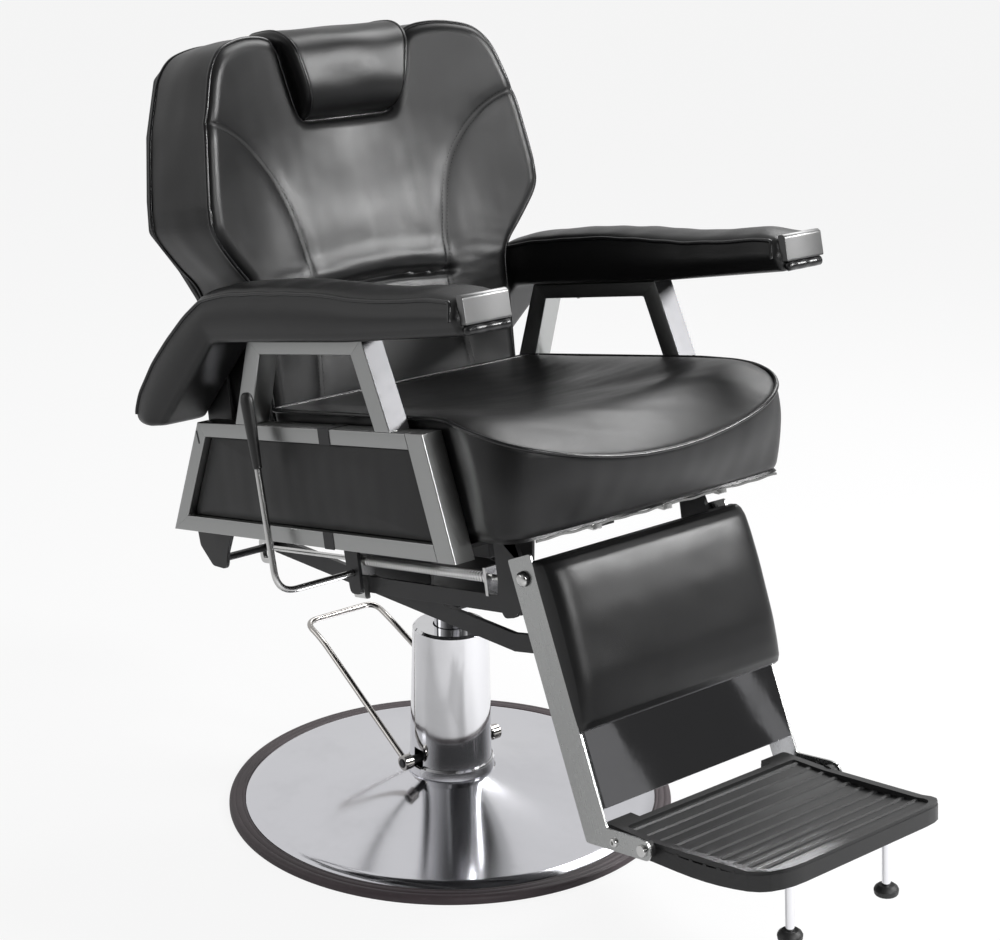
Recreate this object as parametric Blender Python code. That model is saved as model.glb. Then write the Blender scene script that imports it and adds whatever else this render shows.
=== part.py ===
"""Hydraulic barber chair with a linked back and leg rest.

World frame: metres, +Z up, origin on the floor under the middle of the base.
The sitter faces -Y and the sitter's left hand is at +X.

The seat, back and arms share one raked frame, the seat frame.  Its origin is
on the column's axis at SEAT_HEIGHT and it leans back by SEAT_RAKE.  Outlines of
that group are (y, z) pairs in the seat frame.  The leg rest and the footrest
have frames of their own, on their hinges.
"""

import math
from dataclasses import dataclass

import bmesh
import bpy
from mathutils import Matrix, Vector

# ---------------------------------------------------------------- clearances
GAP = 0.0003          # between pieces that touch
SOFT_GAP = 0.0006     # round an upholstered panel in its frame
RUNNING_GAP = 0.0004  # round a rod that turns or slides

# ---------------------------------------------------------------- base
BASE_RADIUS = 0.350
RING_WIDTH = 0.026
RING_HEIGHT = 0.013
DOME_EDGE_HEIGHT = 0.012
DOME_TOP_HEIGHT = 0.056
DOME_SHELL = 0.0025
DOME_SWEEP = 2.1           # how late the dome climbs towards the column
COLLAR_WIDTH = 0.0045
COLLAR_HEIGHT = 0.018
SHROUD_FOOT_RADIUS = 0.065
SHROUD_TOP_RADIUS = 0.0595
SHROUD_TOP = 0.295
SHROUD_WALL = 0.0025
PLATE_THICKNESS = 0.008
PLATE_RIBS = 6
PLATE_RIB_WIDTH = 0.008
PLATE_RIB_REACH = 0.240
PLATE_RIB_HEIGHT = 0.038
PLATE_HUB_LIP = 0.008
PUMP_BODY_RADIUS = 0.047
PUMP_BODY_TOP = 0.108
CYLINDER_RADIUS = 0.038
CYLINDER_TOP = 0.288
PISTON_RADIUS = 0.026
PISTON_FOOT = 0.180
SWIVEL_HEAD_BOTTOM = 0.358
SWIVEL_HEAD_THICKNESS = 0.008
SWIVEL_HEAD_RADIUS = 0.056

# ---------------------------------------------------------------- pump pedal
PEDAL_AXIS_HEIGHT = 0.085
PEDAL_SHAFT_RADIUS = 0.007
PEDAL_HUB_RADIUS = 0.012
PEDAL_HUB_WIDTH = 0.016
PEDAL_HUB_X = 0.088
PEDAL_WIRE_RADIUS = 0.0048
PEDAL_HALF_WIDTH = 0.070
PEDAL_BEND = (0.250, 0.206)     # y and z where the arms flatten out
PEDAL_END = (0.294, 0.221)
PEDAL_BEND_RADIUS = 0.022
PEDAL_SLOT_WIDTH = 0.022
PEDAL_SLOT_HEIGHT = 0.030

# ---------------------------------------------------------------- seat frame
SEAT_HEIGHT = 0.492
SEAT_RAKE = math.radians(11.75)
FRAME_OUTER_X = 0.290
FRAME_DEPTH = 0.034             # across the chair
TUBE_WALL = 0.0025
ACCESS_HOLE_RADIUS = 0.006      # bolt holes in the inner face of the side frames
ACCESS_HOLES = [(-0.335, 0.012), (-0.150, 0.012), (0.120, 0.012), (-0.120, 0.162)]
SIDE_FRAME = [(0.337, 0.0), (-0.380, 0.0), (-0.343, 0.173), (0.223, 0.173)]
SIDE_RAILS = [0.024, 0.038, 0.022, 0.026]   # bottom, front, top, rear
SIDE_PANEL_DEPTH = 0.020
SIDE_PANEL_CROWN = 0.004
ARM_BAR_TOP = 0.300
ARM_BAR_HEIGHT = 0.022
ARM_FRONT_FOOT = (-0.272, -0.237)   # outer and inner y of the front leg's foot
ARM_FRONT_HEAD = (-0.2335, -0.2045)
ARM_REAR_HEAD = (0.0235, 0.050)
ARM_REAR_FOOT = (0.0735, 0.1145)
FRAME_BEVEL = 0.0016

CROSS_TUBE_TOP = 0.0117
CROSS_TUBE_HEIGHT = 0.022
FRONT_TUBE = (-0.235, -0.195)   # y range
REAR_TUBE = (0.005, 0.055)
CRADLE_X = 0.092
CRADLE_WIDTH = 0.028
CRADLE_HEIGHT = 0.030
MOUNT_PLATE_HALF = 0.104
MOUNT_PLATE_THICKNESS = 0.006
MOUNT_WEB_HALF = 0.080
MOUNT_WEB_THICKNESS = 0.006

PAN_HALF_WIDTH = 0.232
PAN_THICKNESS = 0.0115
PAN_FRONT = -0.320
PAN_REAR = 0.085

# ---------------------------------------------------------------- upholstery
SEAT_SIDE_CLEARANCE = 0.006
SEAT_HALF_WIDTH = FRAME_OUTER_X - FRAME_DEPTH - SEAT_SIDE_CLEARANCE
SEAT_REAR = 0.078
SEAT_NOSE_SPREAD = 0.016         # how much wider the cushion is in front of the side frames
SEAT_NOSE_START = -0.386
SEAT_FRONT = -0.462
SEAT_BOW = 0.066                # how far the front edge bulges forwards
SEAT_BOTTOM = 0.024
SEAT_BOTTOM_FRONT = -0.446
SEAT_SIDE_HEIGHT = 0.188        # edge of the top panel along the sides
SEAT_FRONT_DROP = 0.086         # how far that edge dips in the middle of the front
SEAT_DISH_HEIGHT = 0.156
SEAT_PUFF = 0.016
SEAT_DRAW_IN = 0.004
SEAT_SQUARENESS = 14.0          # power of the plan's rounded rectangle

ARM_PAD_INNER_X = 0.247
ARM_PAD_OUTER_X = 0.330
ARM_PAD_NOSE = (-0.503, -0.514)  # y at the top and at the underside of the nose
ARM_PAD_TOP = 0.356
ARM_PAD_SWELL = 0.009            # how far the middle of the top rises along the pad
ARM_PAD_CROWN = 0.011            # and across it
ARM_PAD_HEEL = [(0.101, 0.366), (0.152, 0.342), (0.212, 0.308), (0.268, 0.268), (0.318, 0.224), (0.340, 0.190)]
ARM_PAD_CROOK = (0.0905, 0.300)  # inside of the elbow
ARM_PAD_TIP = [(0.256, 0.178), (0.262, 0.172), (0.330, 0.172)]   # underside of the rear end
ARM_PAD_ROUND = 0.010
ARM_PLATE_X = (0.2515, 0.3265)
ARM_PLATE_THICKNESS = 0.003
ARM_PLATE_LIP = 0.016

BACK_FRONT_EDGE = 0.062          # y of the front panel along its outer edge
BACK_DISH_TOP = 0.078            # how far the middle lies behind the wings
BACK_DISH_LOW = 0.044
BACK_FOOT_EASE = 0.014           # how far the face steps back at the bottom, to clear the seat
BACK_FOOT_DISH = 0.016
BACK_REAR = 0.246
BACK_LOW_HALF = 0.232
BACK_WING_HALF = 0.309
BACK_BOTTOM = 0.150
BACK_EDGE_ROUND = 0.020
BACK_DRAW_IN = 0.004
BACK_SHOULDER = [(0.190, 0.001), (0.238, 0.013), (0.262, 0.042)]    # across, and below the top
BACK_WING_EDGE = [(0.289, 0.606), (0.304, 0.510)]                   # across and up
BACK_TIP_HIGH = 0.470
BACK_TIP_LOW = 0.460
BACK_UNDER_WING = [(0.262, 0.396), (0.298, 0.444)]
BACK_WAIST_CORNER = [(0.003, 0.350), (0.013, 0.380)]                # beyond the low half, and up
BACK_ABOVE_FOLD = 0.068          # rows of faces between the fold and the open back
BACK_TIP_COLUMNS = (0.284, 0.300)
LUMBAR_FOLD_HEIGHT = 0.352
LUMBAR_FOLD_DEPTH = 0.012
NOTCH_BOTTOM = 0.600
NOTCH_HALF_LOW = 0.0935
NOTCH_HALF_TOP = 0.122
BACK_TOP = 0.731
BOARD_THICKNESS = 0.0160
BOARD_MARGIN = 0.003

HEADREST_FRONT = 0.086
HEADREST_REAR = 0.2237
HEADREST_TOP = 0.742
HEADREST_CLEARANCE = 0.0055      # to the sides of the notch
HEADREST_SEAT = 0.0006           # to the bottom of the notch
POST_HALF_WIDTH = 0.025
POST_THICKNESS = 0.006
POST_TOP = 0.700
POST_FOOT = 0.450
GUIDE_WALL = 0.0035
GUIDE_FOOT = 0.440
GUIDE_TOP = 0.590

# ---------------------------------------------------------------- recline linkage
RECLINE_ANGLE = math.radians(50.0)
CRANK_RADIUS = 0.119
BACK_PIVOT = (0.238, 0.053)
LEG_PIVOT = (-0.388, -0.042)
BACK_ARM_X = (0.238, 0.244)
BACK_ARM_TOP = 0.330
BACK_PIN_RADIUS = 0.008
PIVOT_PLATE_THICKNESS = 0.008
CRANK_ROD_RADIUS = 0.006
LINK_X = 0.132
LINK_THICKNESS = 0.008
LINK_WIDTH = 0.026
LINK_BEND = 0.046                # level stretch at the leg rest's end
LINK_PIN_RADIUS = 0.005
LINK_PIN_PLAY = 0.0010           # radial room at the link's open pivot
LEG_PIN_RADIUS = 0.007
LEG_BRACKET_X = (0.1723, 0.1793)
LEG_HANGER_Y = (-0.364, -0.323)  # flange that meets the side frame
LEG_HANGER_TOP = 0.018

LOCK_X = 0.158
LOCK_ROD_RADIUS = 0.004
LOCK_ROD_FRONT = -0.170
LOCK_EYE_THICKNESS = 0.008
LOCK_EYE_WALL = 0.008
LOCK_EYE_PLAY = 0.0012
LOCK_BAR_Z = (-0.104, -0.079)
LOCK_BAR_Y = (-0.352, 0.047)
LOCK_BAR_THICKNESS = 0.006
YOKE_Y = (0.014, 0.042)
YOKE_HALF_WIDTH = 0.012
YOKE_TOP = -0.038
SPRING_RADIUS = 0.0072           # to the middle of the wire
SPRING_WIRE = 0.0011
SPRING_TURNS = 26
SPRING_POINTS = 8
SPRING_LENGTH = 0.296
LOCK_PLATE_THICKNESS = 0.006
LEVER_BRACKET_THICKNESS = 0.006
LEVER_BRACKET_WIDTH = 0.036
LEVER_AXIS = (0.028, -0.071)
LEVER_X = 0.312
LEVER_ROD_RADIUS = 0.005
LEVER_TOP = (0.038, 0.226)
LEVER_GRIP_LENGTH = 0.112
LEVER_GRIP_RADIUS = 0.0115

# ---------------------------------------------------------------- leg rest
LEG_LEAN = math.radians(13.8)
RAIL_OUTER_X = 0.185
RAIL_WEB = 0.003
RAIL_FLANGE = 0.033
RAIL_FRONT = -0.026
RAIL_REAR = 0.024
RAIL_TOP = 0.030
RAIL_BOTTOM = -0.362
FLANGE_TOP = 0.010
FLANGE_BOTTOM = -0.321
REAR_FLANGE_TOP = -0.060         # below the leg bracket
KICK_PANEL_HALF = 0.180
KICK_PANEL_THICKNESS = 0.002
LEG_PAD_HALF = 0.188
LEG_PAD_TOP = 0.020
LEG_PAD_BOTTOM = -0.216
LEG_PAD_FRONT = [(-0.216, -0.049), (-0.150, -0.064), (-0.070, -0.070), (0.020, -0.070)]   # z and y
LEG_TUBE_RADIUS = 0.011
LEG_TUBE_HEIGHT = -0.093

# ---------------------------------------------------------------- footrest
FOOT_PIVOT = (-0.0873, -0.3794)  # in the leg rest's frame
FOOT_PITCH = math.radians(4.5)   # front edge up, from the level
TRAY_SIDE_CLEARANCE = 0.009      # to the webs of the leg rails
TRAY_HALF_WIDTH = RAIL_OUTER_X - RAIL_WEB - TRAY_SIDE_CLEARANCE
TRAY_REAR = 0.086
TRAY_FRONT = -0.222
TRAY_TAPER = 0.007               # how much narrower the front edge is on each side
TRAY_FLOOR = 0.004
TRAY_BOTTOM = -0.018
TRAY_RIM_HEIGHT = 0.005
TRAY_RIM_WIDTH = 0.012
TRAY_CORNER = 0.052
TRAY_LIP_START = -0.050
TRAY_LIP_RISE = 0.026
TRAY_NOTCH_HALF = 0.126
TRAY_NOTCH_DEPTH = 0.018
RIB_COUNT = 10
RIB_WIDTH = 0.007
RIB_HEIGHT = 0.0028
FOOT_BOLT_RADIUS = 0.005
FOOT_LEG_X = 0.093
FOOT_LEG_Y = -0.172
FOOT_LEG_RADIUS = 0.006
FOOT_LEG_FOOT = -0.082           # lower end of the legs, from the hinge
FOOT_PAD_RADIUS = 0.017
FOOT_PAD_HEIGHT = 0.015

BASE_ROUND = 48       # sides of the base
ROUND = 36            # sides of the column
SMALL_ROUND = 16      # sides of pins, rods and bosses


# ---------------------------------------------------------------- scene and materials
def clear_scene():
    """Remove every object of the startup scene."""
    for item in list(bpy.data.objects):
        bpy.data.objects.remove(item, do_unlink=True)


@dataclass
class Finish:
    """Colour, roughness and metallic value of one material."""

    color: tuple
    roughness: float
    metallic: float = 0.0


FINISHES = {
    "chrome": Finish((0.80, 0.80, 0.82), 0.08, 1.0),
    "brushed_chrome": Finish((0.62, 0.62, 0.62), 0.28, 1.0),
    "polished_panel": Finish((0.36, 0.36, 0.37), 0.06, 1.0),
    "cast_iron": Finish((0.10, 0.10, 0.11), 0.60, 0.4),
    "black_steel": Finish((0.012, 0.012, 0.013), 0.42, 0.0),
    "vinyl": Finish((0.013, 0.013, 0.014), 0.38, 0.0),
    "rubber_ring": Finish((0.050, 0.040, 0.044), 0.55, 0.0),
    "rubber": Finish((0.014, 0.014, 0.014), 0.62, 0.0),
    "plastic": Finish((0.012, 0.012, 0.012), 0.45, 0.0),
    "board": Finish((0.016, 0.016, 0.017), 0.50, 0.0),
}


def material(name):
    """Return the named material, made on first use."""
    found = bpy.data.materials.get(name)
    if found:
        return found
    finish = FINISHES[name]
    made = bpy.data.materials.new(name)
    made.use_nodes = True
    shader = made.node_tree.nodes["Principled BSDF"]
    shader.inputs["Base Color"].default_value = (*finish.color, 1.0)
    shader.inputs["Roughness"].default_value = finish.roughness
    shader.inputs["Metallic"].default_value = finish.metallic
    made.diffuse_color = (*finish.color, 1.0)
    return made


@dataclass
class Frame:
    """A parent empty, and where its origin lies in the coordinates of its shapes."""

    empty: bpy.types.Object
    origin: Vector


def make_frame(name, location, rotation_x=0.0, parent=None, origin=(0.0, 0.0, 0.0)):
    """Add an empty that carries a group of pieces."""
    empty = bpy.data.objects.new(name, None)
    bpy.context.scene.collection.objects.link(empty)
    empty.parent = parent.empty if parent else None
    empty.location = location
    empty.rotation_euler = (rotation_x, 0.0, 0.0)
    return Frame(empty, Vector(origin))


# ---------------------------------------------------------------- shapes
@dataclass
class Shape:
    """Points and faces of one closed body."""

    points: list
    faces: list


def loft(rings, closed=False):
    """Skin rings of equal length; a ring of one point is a pole."""
    points = []
    starts = []
    for ring in rings:
        starts.append(len(points))
        points.extend(Vector(p) for p in ring)
    count = max(len(ring) for ring in rings)
    pairs = list(zip(range(len(rings) - 1), range(1, len(rings))))
    if closed:
        pairs.append((len(rings) - 1, 0))
    faces = []
    for a, b in pairs:
        for k in range(count):
            n = (k + 1) % count
            if len(rings[a]) == 1:
                faces.append((starts[a], starts[b] + k, starts[b] + n))
            elif len(rings[b]) == 1:
                faces.append((starts[a] + k, starts[b], starts[a] + n))
            else:
                faces.append((starts[a] + k, starts[b] + k, starts[b] + n, starts[a] + n))
    if not closed:
        for index in (0, len(rings) - 1):
            if len(rings[index]) > 1:
                faces.append(tuple(range(starts[index], starts[index] + count)))
    return Shape(points, faces)


def prism(outline, x0, x1):
    """Extrude a (y, z) outline along X."""
    return loft([[(x, y, z) for y, z in outline] for x in (x0, x1)])


def hollow_prism(outer, inner, x0, x1):
    """Extrude the band between two (y, z) outlines along X."""
    rings = [(outer, x0), (outer, x1), (inner, x1), (inner, x0)]
    return loft([[(x, y, z) for y, z in outline] for outline, x in rings], closed=True)


def box(x_range, y_range, z_range):
    """A box between three ranges."""
    (y0, y1), (z0, z1) = y_range, z_range
    return prism([(y0, z0), (y1, z0), (y1, z1), (y0, z1)], *x_range)


def circle(radius, sides, centre=(0.0, 0.0)):
    """Points of a circle as pairs."""
    steps = [2.0 * math.pi * k / sides for k in range(sides)]
    return [(centre[0] + radius * math.cos(a), centre[1] + radius * math.sin(a)) for a in steps]


def turned(profile, sides, closed=False):
    """Turn an (r, z) profile round the Z axis."""
    rings = []
    for radius, z in profile:
        if radius < 1e-6:
            rings.append([(0.0, 0.0, z)])
        else:
            rings.append([(x, y, z) for x, y in circle(radius, sides)])
    return loft(rings, closed)


def pin(radius, x0, x1, centre, sides=SMALL_ROUND):
    """A round bar along X at a (y, z) centre."""
    return prism(circle(radius, sides, centre), x0, x1)


def stepped_pin(steps, centre, sides=SMALL_ROUND):
    """A turned bar along X; steps are (x, radius) pairs from end to end."""
    return loft([[(x, y, z) for y, z in circle(radius, sides, centre)] for x, radius in steps])


def sweep(path, radius, sides):
    """A round tube along a path, with flat ends."""
    points = [Vector(p) for p in path]
    last = len(points) - 1
    tangents = [(points[min(i + 1, last)] - points[max(i - 1, 0)]).normalized() for i in range(last + 1)]
    normal = tangents[0].orthogonal().normalized()
    rings = []
    for i, (point, tangent) in enumerate(zip(points, tangents)):
        if i:
            normal = tangents[i - 1].rotation_difference(tangent) @ normal
        side = tangent.cross(normal)
        rings.append([point + radius * (math.cos(a) * normal + math.sin(a) * side)
                      for a in (2.0 * math.pi * k / sides for k in range(sides))])
    return loft(rings)


def fillet(corner, before, after, radius, steps):
    """Points of a smooth bend that replaces one corner."""
    corner, before, after = Vector(corner), Vector(before), Vector(after)
    into, out = (before - corner), (after - corner)
    half = into.angle(out) / 2.0
    reach = min(radius / math.tan(half), 0.48 * into.length, 0.48 * out.length)
    start = corner + into.normalized() * reach
    end = corner + out.normalized() * reach
    ramp = [k / steps for k in range(steps + 1)]
    return [start * (1 - t) ** 2 + corner * 2 * t * (1 - t) + end * t ** 2 for t in ramp]


def rounded_path(points, radius, steps=4):
    """Round every inner corner of an open path."""
    path = [Vector(points[0])]
    for before, corner, after in zip(points, points[1:], points[2:]):
        path.extend(fillet(corner, before, after, radius, steps))
    path.append(Vector(points[-1]))
    return path


def rounded_outline(corners, radii, steps=3):
    """Round the corners of a closed outline; a radius of zero keeps the corner."""
    count = len(corners)
    radii = radii if isinstance(radii, (list, tuple)) else [radii] * count
    outline = []
    for k, (corner, radius) in enumerate(zip(corners, radii)):
        if radius <= 0.0:
            outline.append(tuple(corner))
            continue
        bend = fillet(corner, corners[k - 1], corners[(k + 1) % count], radius, steps)
        outline.extend((p.x, p.y) for p in bend)
    return outline


def line_crossing(a0, a1, b0, b1):
    """Where two lines in a plane cross."""
    a0, a1, b0, b1 = Vector(a0), Vector(a1), Vector(b0), Vector(b1)
    da, db = a1 - a0, b1 - b0
    t = (b0 - a0).cross(db) / da.cross(db)
    return a0 + da * t


def inset(outline, distances):
    """Move every edge of an outline inwards by its own distance."""
    count = len(outline)
    centre = sum((Vector(p) for p in outline), Vector((0.0, 0.0))) / count
    edges = []
    for k, distance in enumerate(distances):
        a, b = Vector(outline[k]), Vector(outline[(k + 1) % count])
        normal = Vector((-(b - a).y, (b - a).x)).normalized()
        if normal.dot(centre - a) < 0.0:
            normal = -normal
        edges.append((a + normal * distance, b + normal * distance))
    return [tuple(line_crossing(*edges[k - 1], *edges[k])) for k in range(count)]


def bar_outline(path, width, end_steps=6):
    """Outline of a flat bar of even width with round ends along a path."""
    points = [Vector(p) for p in path]
    half = width / 2.0

    def offset(side):
        lines = []
        for a, b in zip(points, points[1:]):
            normal = Vector((-(b - a).y, (b - a).x)).normalized() * half * side
            lines.append((a + normal, b + normal))
        inner = [line_crossing(*p, *q) for p, q in zip(lines, lines[1:])]
        return [lines[0][0]] + inner + [lines[-1][1]]

    def cap(centre, start):
        arm = start - centre
        turns = [-math.pi * k / end_steps for k in range(1, end_steps)]
        return [centre + Matrix.Rotation(a, 2) @ arm for a in turns]

    left, right = offset(1.0), offset(-1.0)
    outline = left + cap(points[-1], left[-1]) + right[::-1] + cap(points[0], right[0])
    return [tuple(p) for p in outline]


def blend(a, b, t):
    """A point between two points or numbers."""
    return a + (b - a) * t


def smooth_step(t):
    """Ease from 0 to 1."""
    t = min(max(t, 0.0), 1.0)
    return t * t * (3.0 - 2.0 * t)


def at(table, value):
    """Read a piecewise straight curve given as (value, result) pairs."""
    for (v0, r0), (v1, r1) in zip(table, table[1:]):
        if value <= v1:
            return blend(r0, r1, (value - v0) / (v1 - v0))
    return table[-1][1]


# ---------------------------------------------------------------- objects
def as_mesh(name, shape, origin):
    """Make a mesh whose faces all point out."""
    mesh = bpy.data.meshes.new(name)
    mesh.from_pydata([p - origin for p in shape.points], [], shape.faces)
    work = bmesh.new()
    work.from_mesh(mesh)
    bmesh.ops.recalc_face_normals(work, faces=work.faces)
    work.to_mesh(mesh)
    work.free()
    return mesh


def add(name, shape, frame, finish, smooth=None):
    """Add a shape to the scene as one named piece."""
    mesh = as_mesh(name, shape, frame.origin)
    mesh.materials.append(material(finish))
    item = bpy.data.objects.new(name, mesh)
    bpy.context.scene.collection.objects.link(item)
    item.parent = frame.empty
    if smooth is not None:
        mesh.shade_smooth()
        mesh.set_sharp_from_angle(angle=math.radians(smooth))
    return item


def combine(item, shape, frame, operation):
    """Join a shape to a piece, or cut it away, with a Boolean."""
    name = f"{item.name}_{operation.lower()}_{len(item.modifiers)}"
    tool = bpy.data.objects.new(name, as_mesh(name, shape, frame.origin))
    bpy.context.scene.collection.objects.link(tool)
    tool.parent = frame.empty
    tool.hide_render = True
    tool.display_type = "WIRE"
    modifier = item.modifiers.new(name, "BOOLEAN")
    modifier.operation = operation
    modifier.solver = "EXACT"
    modifier.object = tool
    return item


def cut(item, shape, frame):
    """Cut a shape out of a piece."""
    return combine(item, shape, frame, "DIFFERENCE")


def join(item, shape, frame):
    """Weld a shape onto a piece."""
    return combine(item, shape, frame, "UNION")


def bevel(item, width, segments=2, angle=40.0):
    """Break the sharp edges of a piece."""
    modifier = item.modifiers.new("edges", "BEVEL")
    modifier.width = width
    modifier.segments = segments
    modifier.limit_method = "ANGLE"
    modifier.angle_limit = math.radians(angle)
    modifier.use_clamp_overlap = True
    return item


def sides():
    """Names and signs of the sitter's left and right sides."""
    return (("left", 1.0), ("right", -1.0))


def mirrored(x0, x1, side):
    """An X range on one side of the chair."""
    return tuple(sorted((x0 * side, x1 * side)))


# ---------------------------------------------------------------- linkage points
def crank_arm():
    """Offset from a pivot to its crank pin; it swings evenly about straight down."""
    lean = RECLINE_ANGLE / 2.0
    return (CRANK_RADIUS * math.sin(lean), -CRANK_RADIUS * math.cos(lean))


def crank_sag():
    """How far the crank pin dips below its end positions."""
    return CRANK_RADIUS * (1.0 - math.cos(RECLINE_ANGLE / 2.0))


def crank_pin(pivot):
    """The crank pin of a pivot, in the seat frame."""
    arm = crank_arm()
    return (pivot[0] + arm[0], pivot[1] + arm[1])


def in_leg_frame(point):
    """Turn a seat-frame point into the leg rest's frame."""
    dy, dz = point[0] - LEG_PIVOT[0], point[1] - LEG_PIVOT[1]
    c, s = math.cos(LEG_LEAN), math.sin(LEG_LEAN)
    return (dy * c - dz * s, dy * s + dz * c)


# ---------------------------------------------------------------- base
def dome_height(radius):
    """Height of the dome's top skin at a radius."""
    rim = BASE_RADIUS - RING_WIDTH
    foot = SHROUD_FOOT_RADIUS + COLLAR_WIDTH
    t = min(max((rim - radius) / (rim - foot), 0.0), 1.0)
    roll = 1.0 - (1.0 - min(t * 14.0, 1.0)) ** 2
    climb = 0.42 * t + 0.58 * t ** DOME_SWEEP
    rise = DOME_TOP_HEIGHT - DOME_EDGE_HEIGHT
    return DOME_EDGE_HEIGHT + rise * (0.10 * roll + 0.90 * climb)


def build_base(world):
    """Floor ring, dome, base plate, collar, shroud and pump."""
    rim = BASE_RADIUS - RING_WIDTH
    ring = [(rim, 0.0), (BASE_RADIUS - 0.003, 0.0), (BASE_RADIUS, 0.003),
            (BASE_RADIUS, RING_HEIGHT - 0.005), (BASE_RADIUS - 0.005, RING_HEIGHT),
            (rim + 0.003, RING_HEIGHT), (rim, RING_HEIGHT - 0.003)]
    add("base_rubber_ring", turned(ring, BASE_ROUND, closed=True), world, "rubber_ring", 50)

    inner = SHROUD_FOOT_RADIUS + COLLAR_WIDTH
    steps = [blend(rim - GAP, inner, t) for t in (0.0, 0.025, 0.07, 0.32, 0.58, 0.80, 1.0)]
    top = [(r, dome_height(r)) for r in steps]
    under = [(r, dome_height(r) - DOME_SHELL) for r in steps]
    bore = (inner - COLLAR_WIDTH, dome_height(inner))
    bore_under = (bore[0], bore[1] - DOME_SHELL)
    shell = top + [bore, bore_under] + under[::-1]
    add("base_dome_cover", turned(shell, BASE_ROUND, closed=True), world, "chrome", 30)

    hub = inner + PLATE_HUB_LIP
    edge = under[1][0]
    seat = bore_under[1] - GAP
    plate = [(0.0, 0.0), (edge, 0.0), (edge, PLATE_THICKNESS - 0.001), (hub, PLATE_THICKNESS),
             (hub, at(under[::-1], hub) - GAP), (inner, seat), (0.0, seat)]
    plate_item = add("base_plate", turned(plate, BASE_ROUND), world, "cast_iron", 30)
    rib_foot = PLATE_THICKNESS - 0.003
    rib_end = dome_height(PLATE_RIB_REACH) - DOME_SHELL - 0.002
    rib = [(hub - 0.002, rib_foot), (PLATE_RIB_REACH, rib_foot), (PLATE_RIB_REACH, rib_end),
           (hub - 0.002, PLATE_RIB_HEIGHT)]
    for k in range(PLATE_RIBS):
        turn = Matrix.Rotation(2.0 * math.pi * (k + 0.5) / PLATE_RIBS, 4, "Z")
        bar = prism(rib, -PLATE_RIB_WIDTH / 2, PLATE_RIB_WIDTH / 2)
        join(plate_item, Shape([turn @ p for p in bar.points], bar.faces), world)

    low = bore[1] + GAP
    bore_radius = SHROUD_FOOT_RADIUS + GAP
    collar = [(bore_radius, low), (inner - 0.001, low), (inner, low + 0.001),
              (inner, low + COLLAR_HEIGHT - 0.003), (inner - 0.002, low + COLLAR_HEIGHT),
              (bore_radius, low + COLLAR_HEIGHT)]
    collar_item = add("column_collar", turned(collar, ROUND, closed=True), world, "chrome", 30)

    foot = low
    hole = PISTON_RADIUS + 0.002
    outer = [(SHROUD_FOOT_RADIUS, foot), (SHROUD_FOOT_RADIUS, low + COLLAR_HEIGHT),
             (SHROUD_TOP_RADIUS, SHROUD_TOP - 0.004), (SHROUD_TOP_RADIUS - 0.004, SHROUD_TOP)]
    inside = [(hole, SHROUD_TOP), (hole, SHROUD_TOP - SHROUD_WALL),
              (SHROUD_TOP_RADIUS - SHROUD_WALL, SHROUD_TOP - SHROUD_WALL - 0.003),
              (SHROUD_FOOT_RADIUS - SHROUD_WALL, foot)]
    shroud = add("column_shroud", turned(outer + inside, ROUND, closed=True), world, "chrome", 30)
    slot_z = (PEDAL_AXIS_HEIGHT - PEDAL_SLOT_HEIGHT / 2, PEDAL_AXIS_HEIGHT + PEDAL_SLOT_HEIGHT / 2)
    slot = box((-0.080, 0.080), (-PEDAL_SLOT_WIDTH / 2, PEDAL_SLOT_WIDTH / 2), slot_z)
    cut(shroud, slot, world)
    cut(collar_item, slot, world)

    body_foot = seat + GAP
    bore_radius = PISTON_RADIUS + RUNNING_GAP
    body = [(0.0, body_foot), (PUMP_BODY_RADIUS, body_foot), (PUMP_BODY_RADIUS, PUMP_BODY_TOP - 0.003),
            (PUMP_BODY_RADIUS - 0.003, PUMP_BODY_TOP), (CYLINDER_RADIUS, PUMP_BODY_TOP),
            (CYLINDER_RADIUS, CYLINDER_TOP), (bore_radius, CYLINDER_TOP),
            (bore_radius, PUMP_BODY_TOP + 0.004), (0.0, PUMP_BODY_TOP + 0.004)]
    pump = add("pump_cylinder", turned(body, ROUND), world, "cast_iron", 30)
    cut(pump, pin(PEDAL_SHAFT_RADIUS + RUNNING_GAP, -0.070, 0.070, (0.0, PEDAL_AXIS_HEIGHT)), world)


def build_pedal(world):
    """The sprung pump pedal and its shaft."""
    axis = (0.0, PEDAL_AXIS_HEIGHT)
    pedal = make_frame("pedal_axis", (0.0, 0.0, PEDAL_AXIS_HEIGHT), parent=world,
                       origin=(0.0, 0.0, PEDAL_AXIS_HEIGHT))
    end = PEDAL_HUB_X + PEDAL_HUB_WIDTH / 2
    shaft = pin(PEDAL_SHAFT_RADIUS, -end - 0.002, end + 0.002, axis)
    bevel(add("pedal_shaft", shaft, pedal, "black_steel", 40), 0.001, 1)
    start = Vector((PEDAL_HUB_X, 0.0, PEDAL_AXIS_HEIGHT))
    bend = Vector((PEDAL_HALF_WIDTH, *PEDAL_BEND))
    start += (bend - start).normalized() * (PEDAL_SHAFT_RADIUS + PEDAL_HUB_RADIUS) / 2.0
    half = [start, bend, Vector((PEDAL_HALF_WIDTH, *PEDAL_END))]
    path = half + [Vector((-p.x, p.y, p.z)) for p in reversed(half)]
    wire = add("pedal_wire", sweep(rounded_path(path, PEDAL_BEND_RADIUS, 3), PEDAL_WIRE_RADIUS, 10), pedal,
               "chrome", 50)
    for _, side in sides():
        hub = mirrored(end - PEDAL_HUB_WIDTH, end, side)
        join(wire, pin(PEDAL_HUB_RADIUS, *hub, axis, 18), pedal)
        cut(wire, pin(PEDAL_SHAFT_RADIUS + GAP, *mirrored(end - 0.03, end + 0.01, side), axis), pedal)


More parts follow.
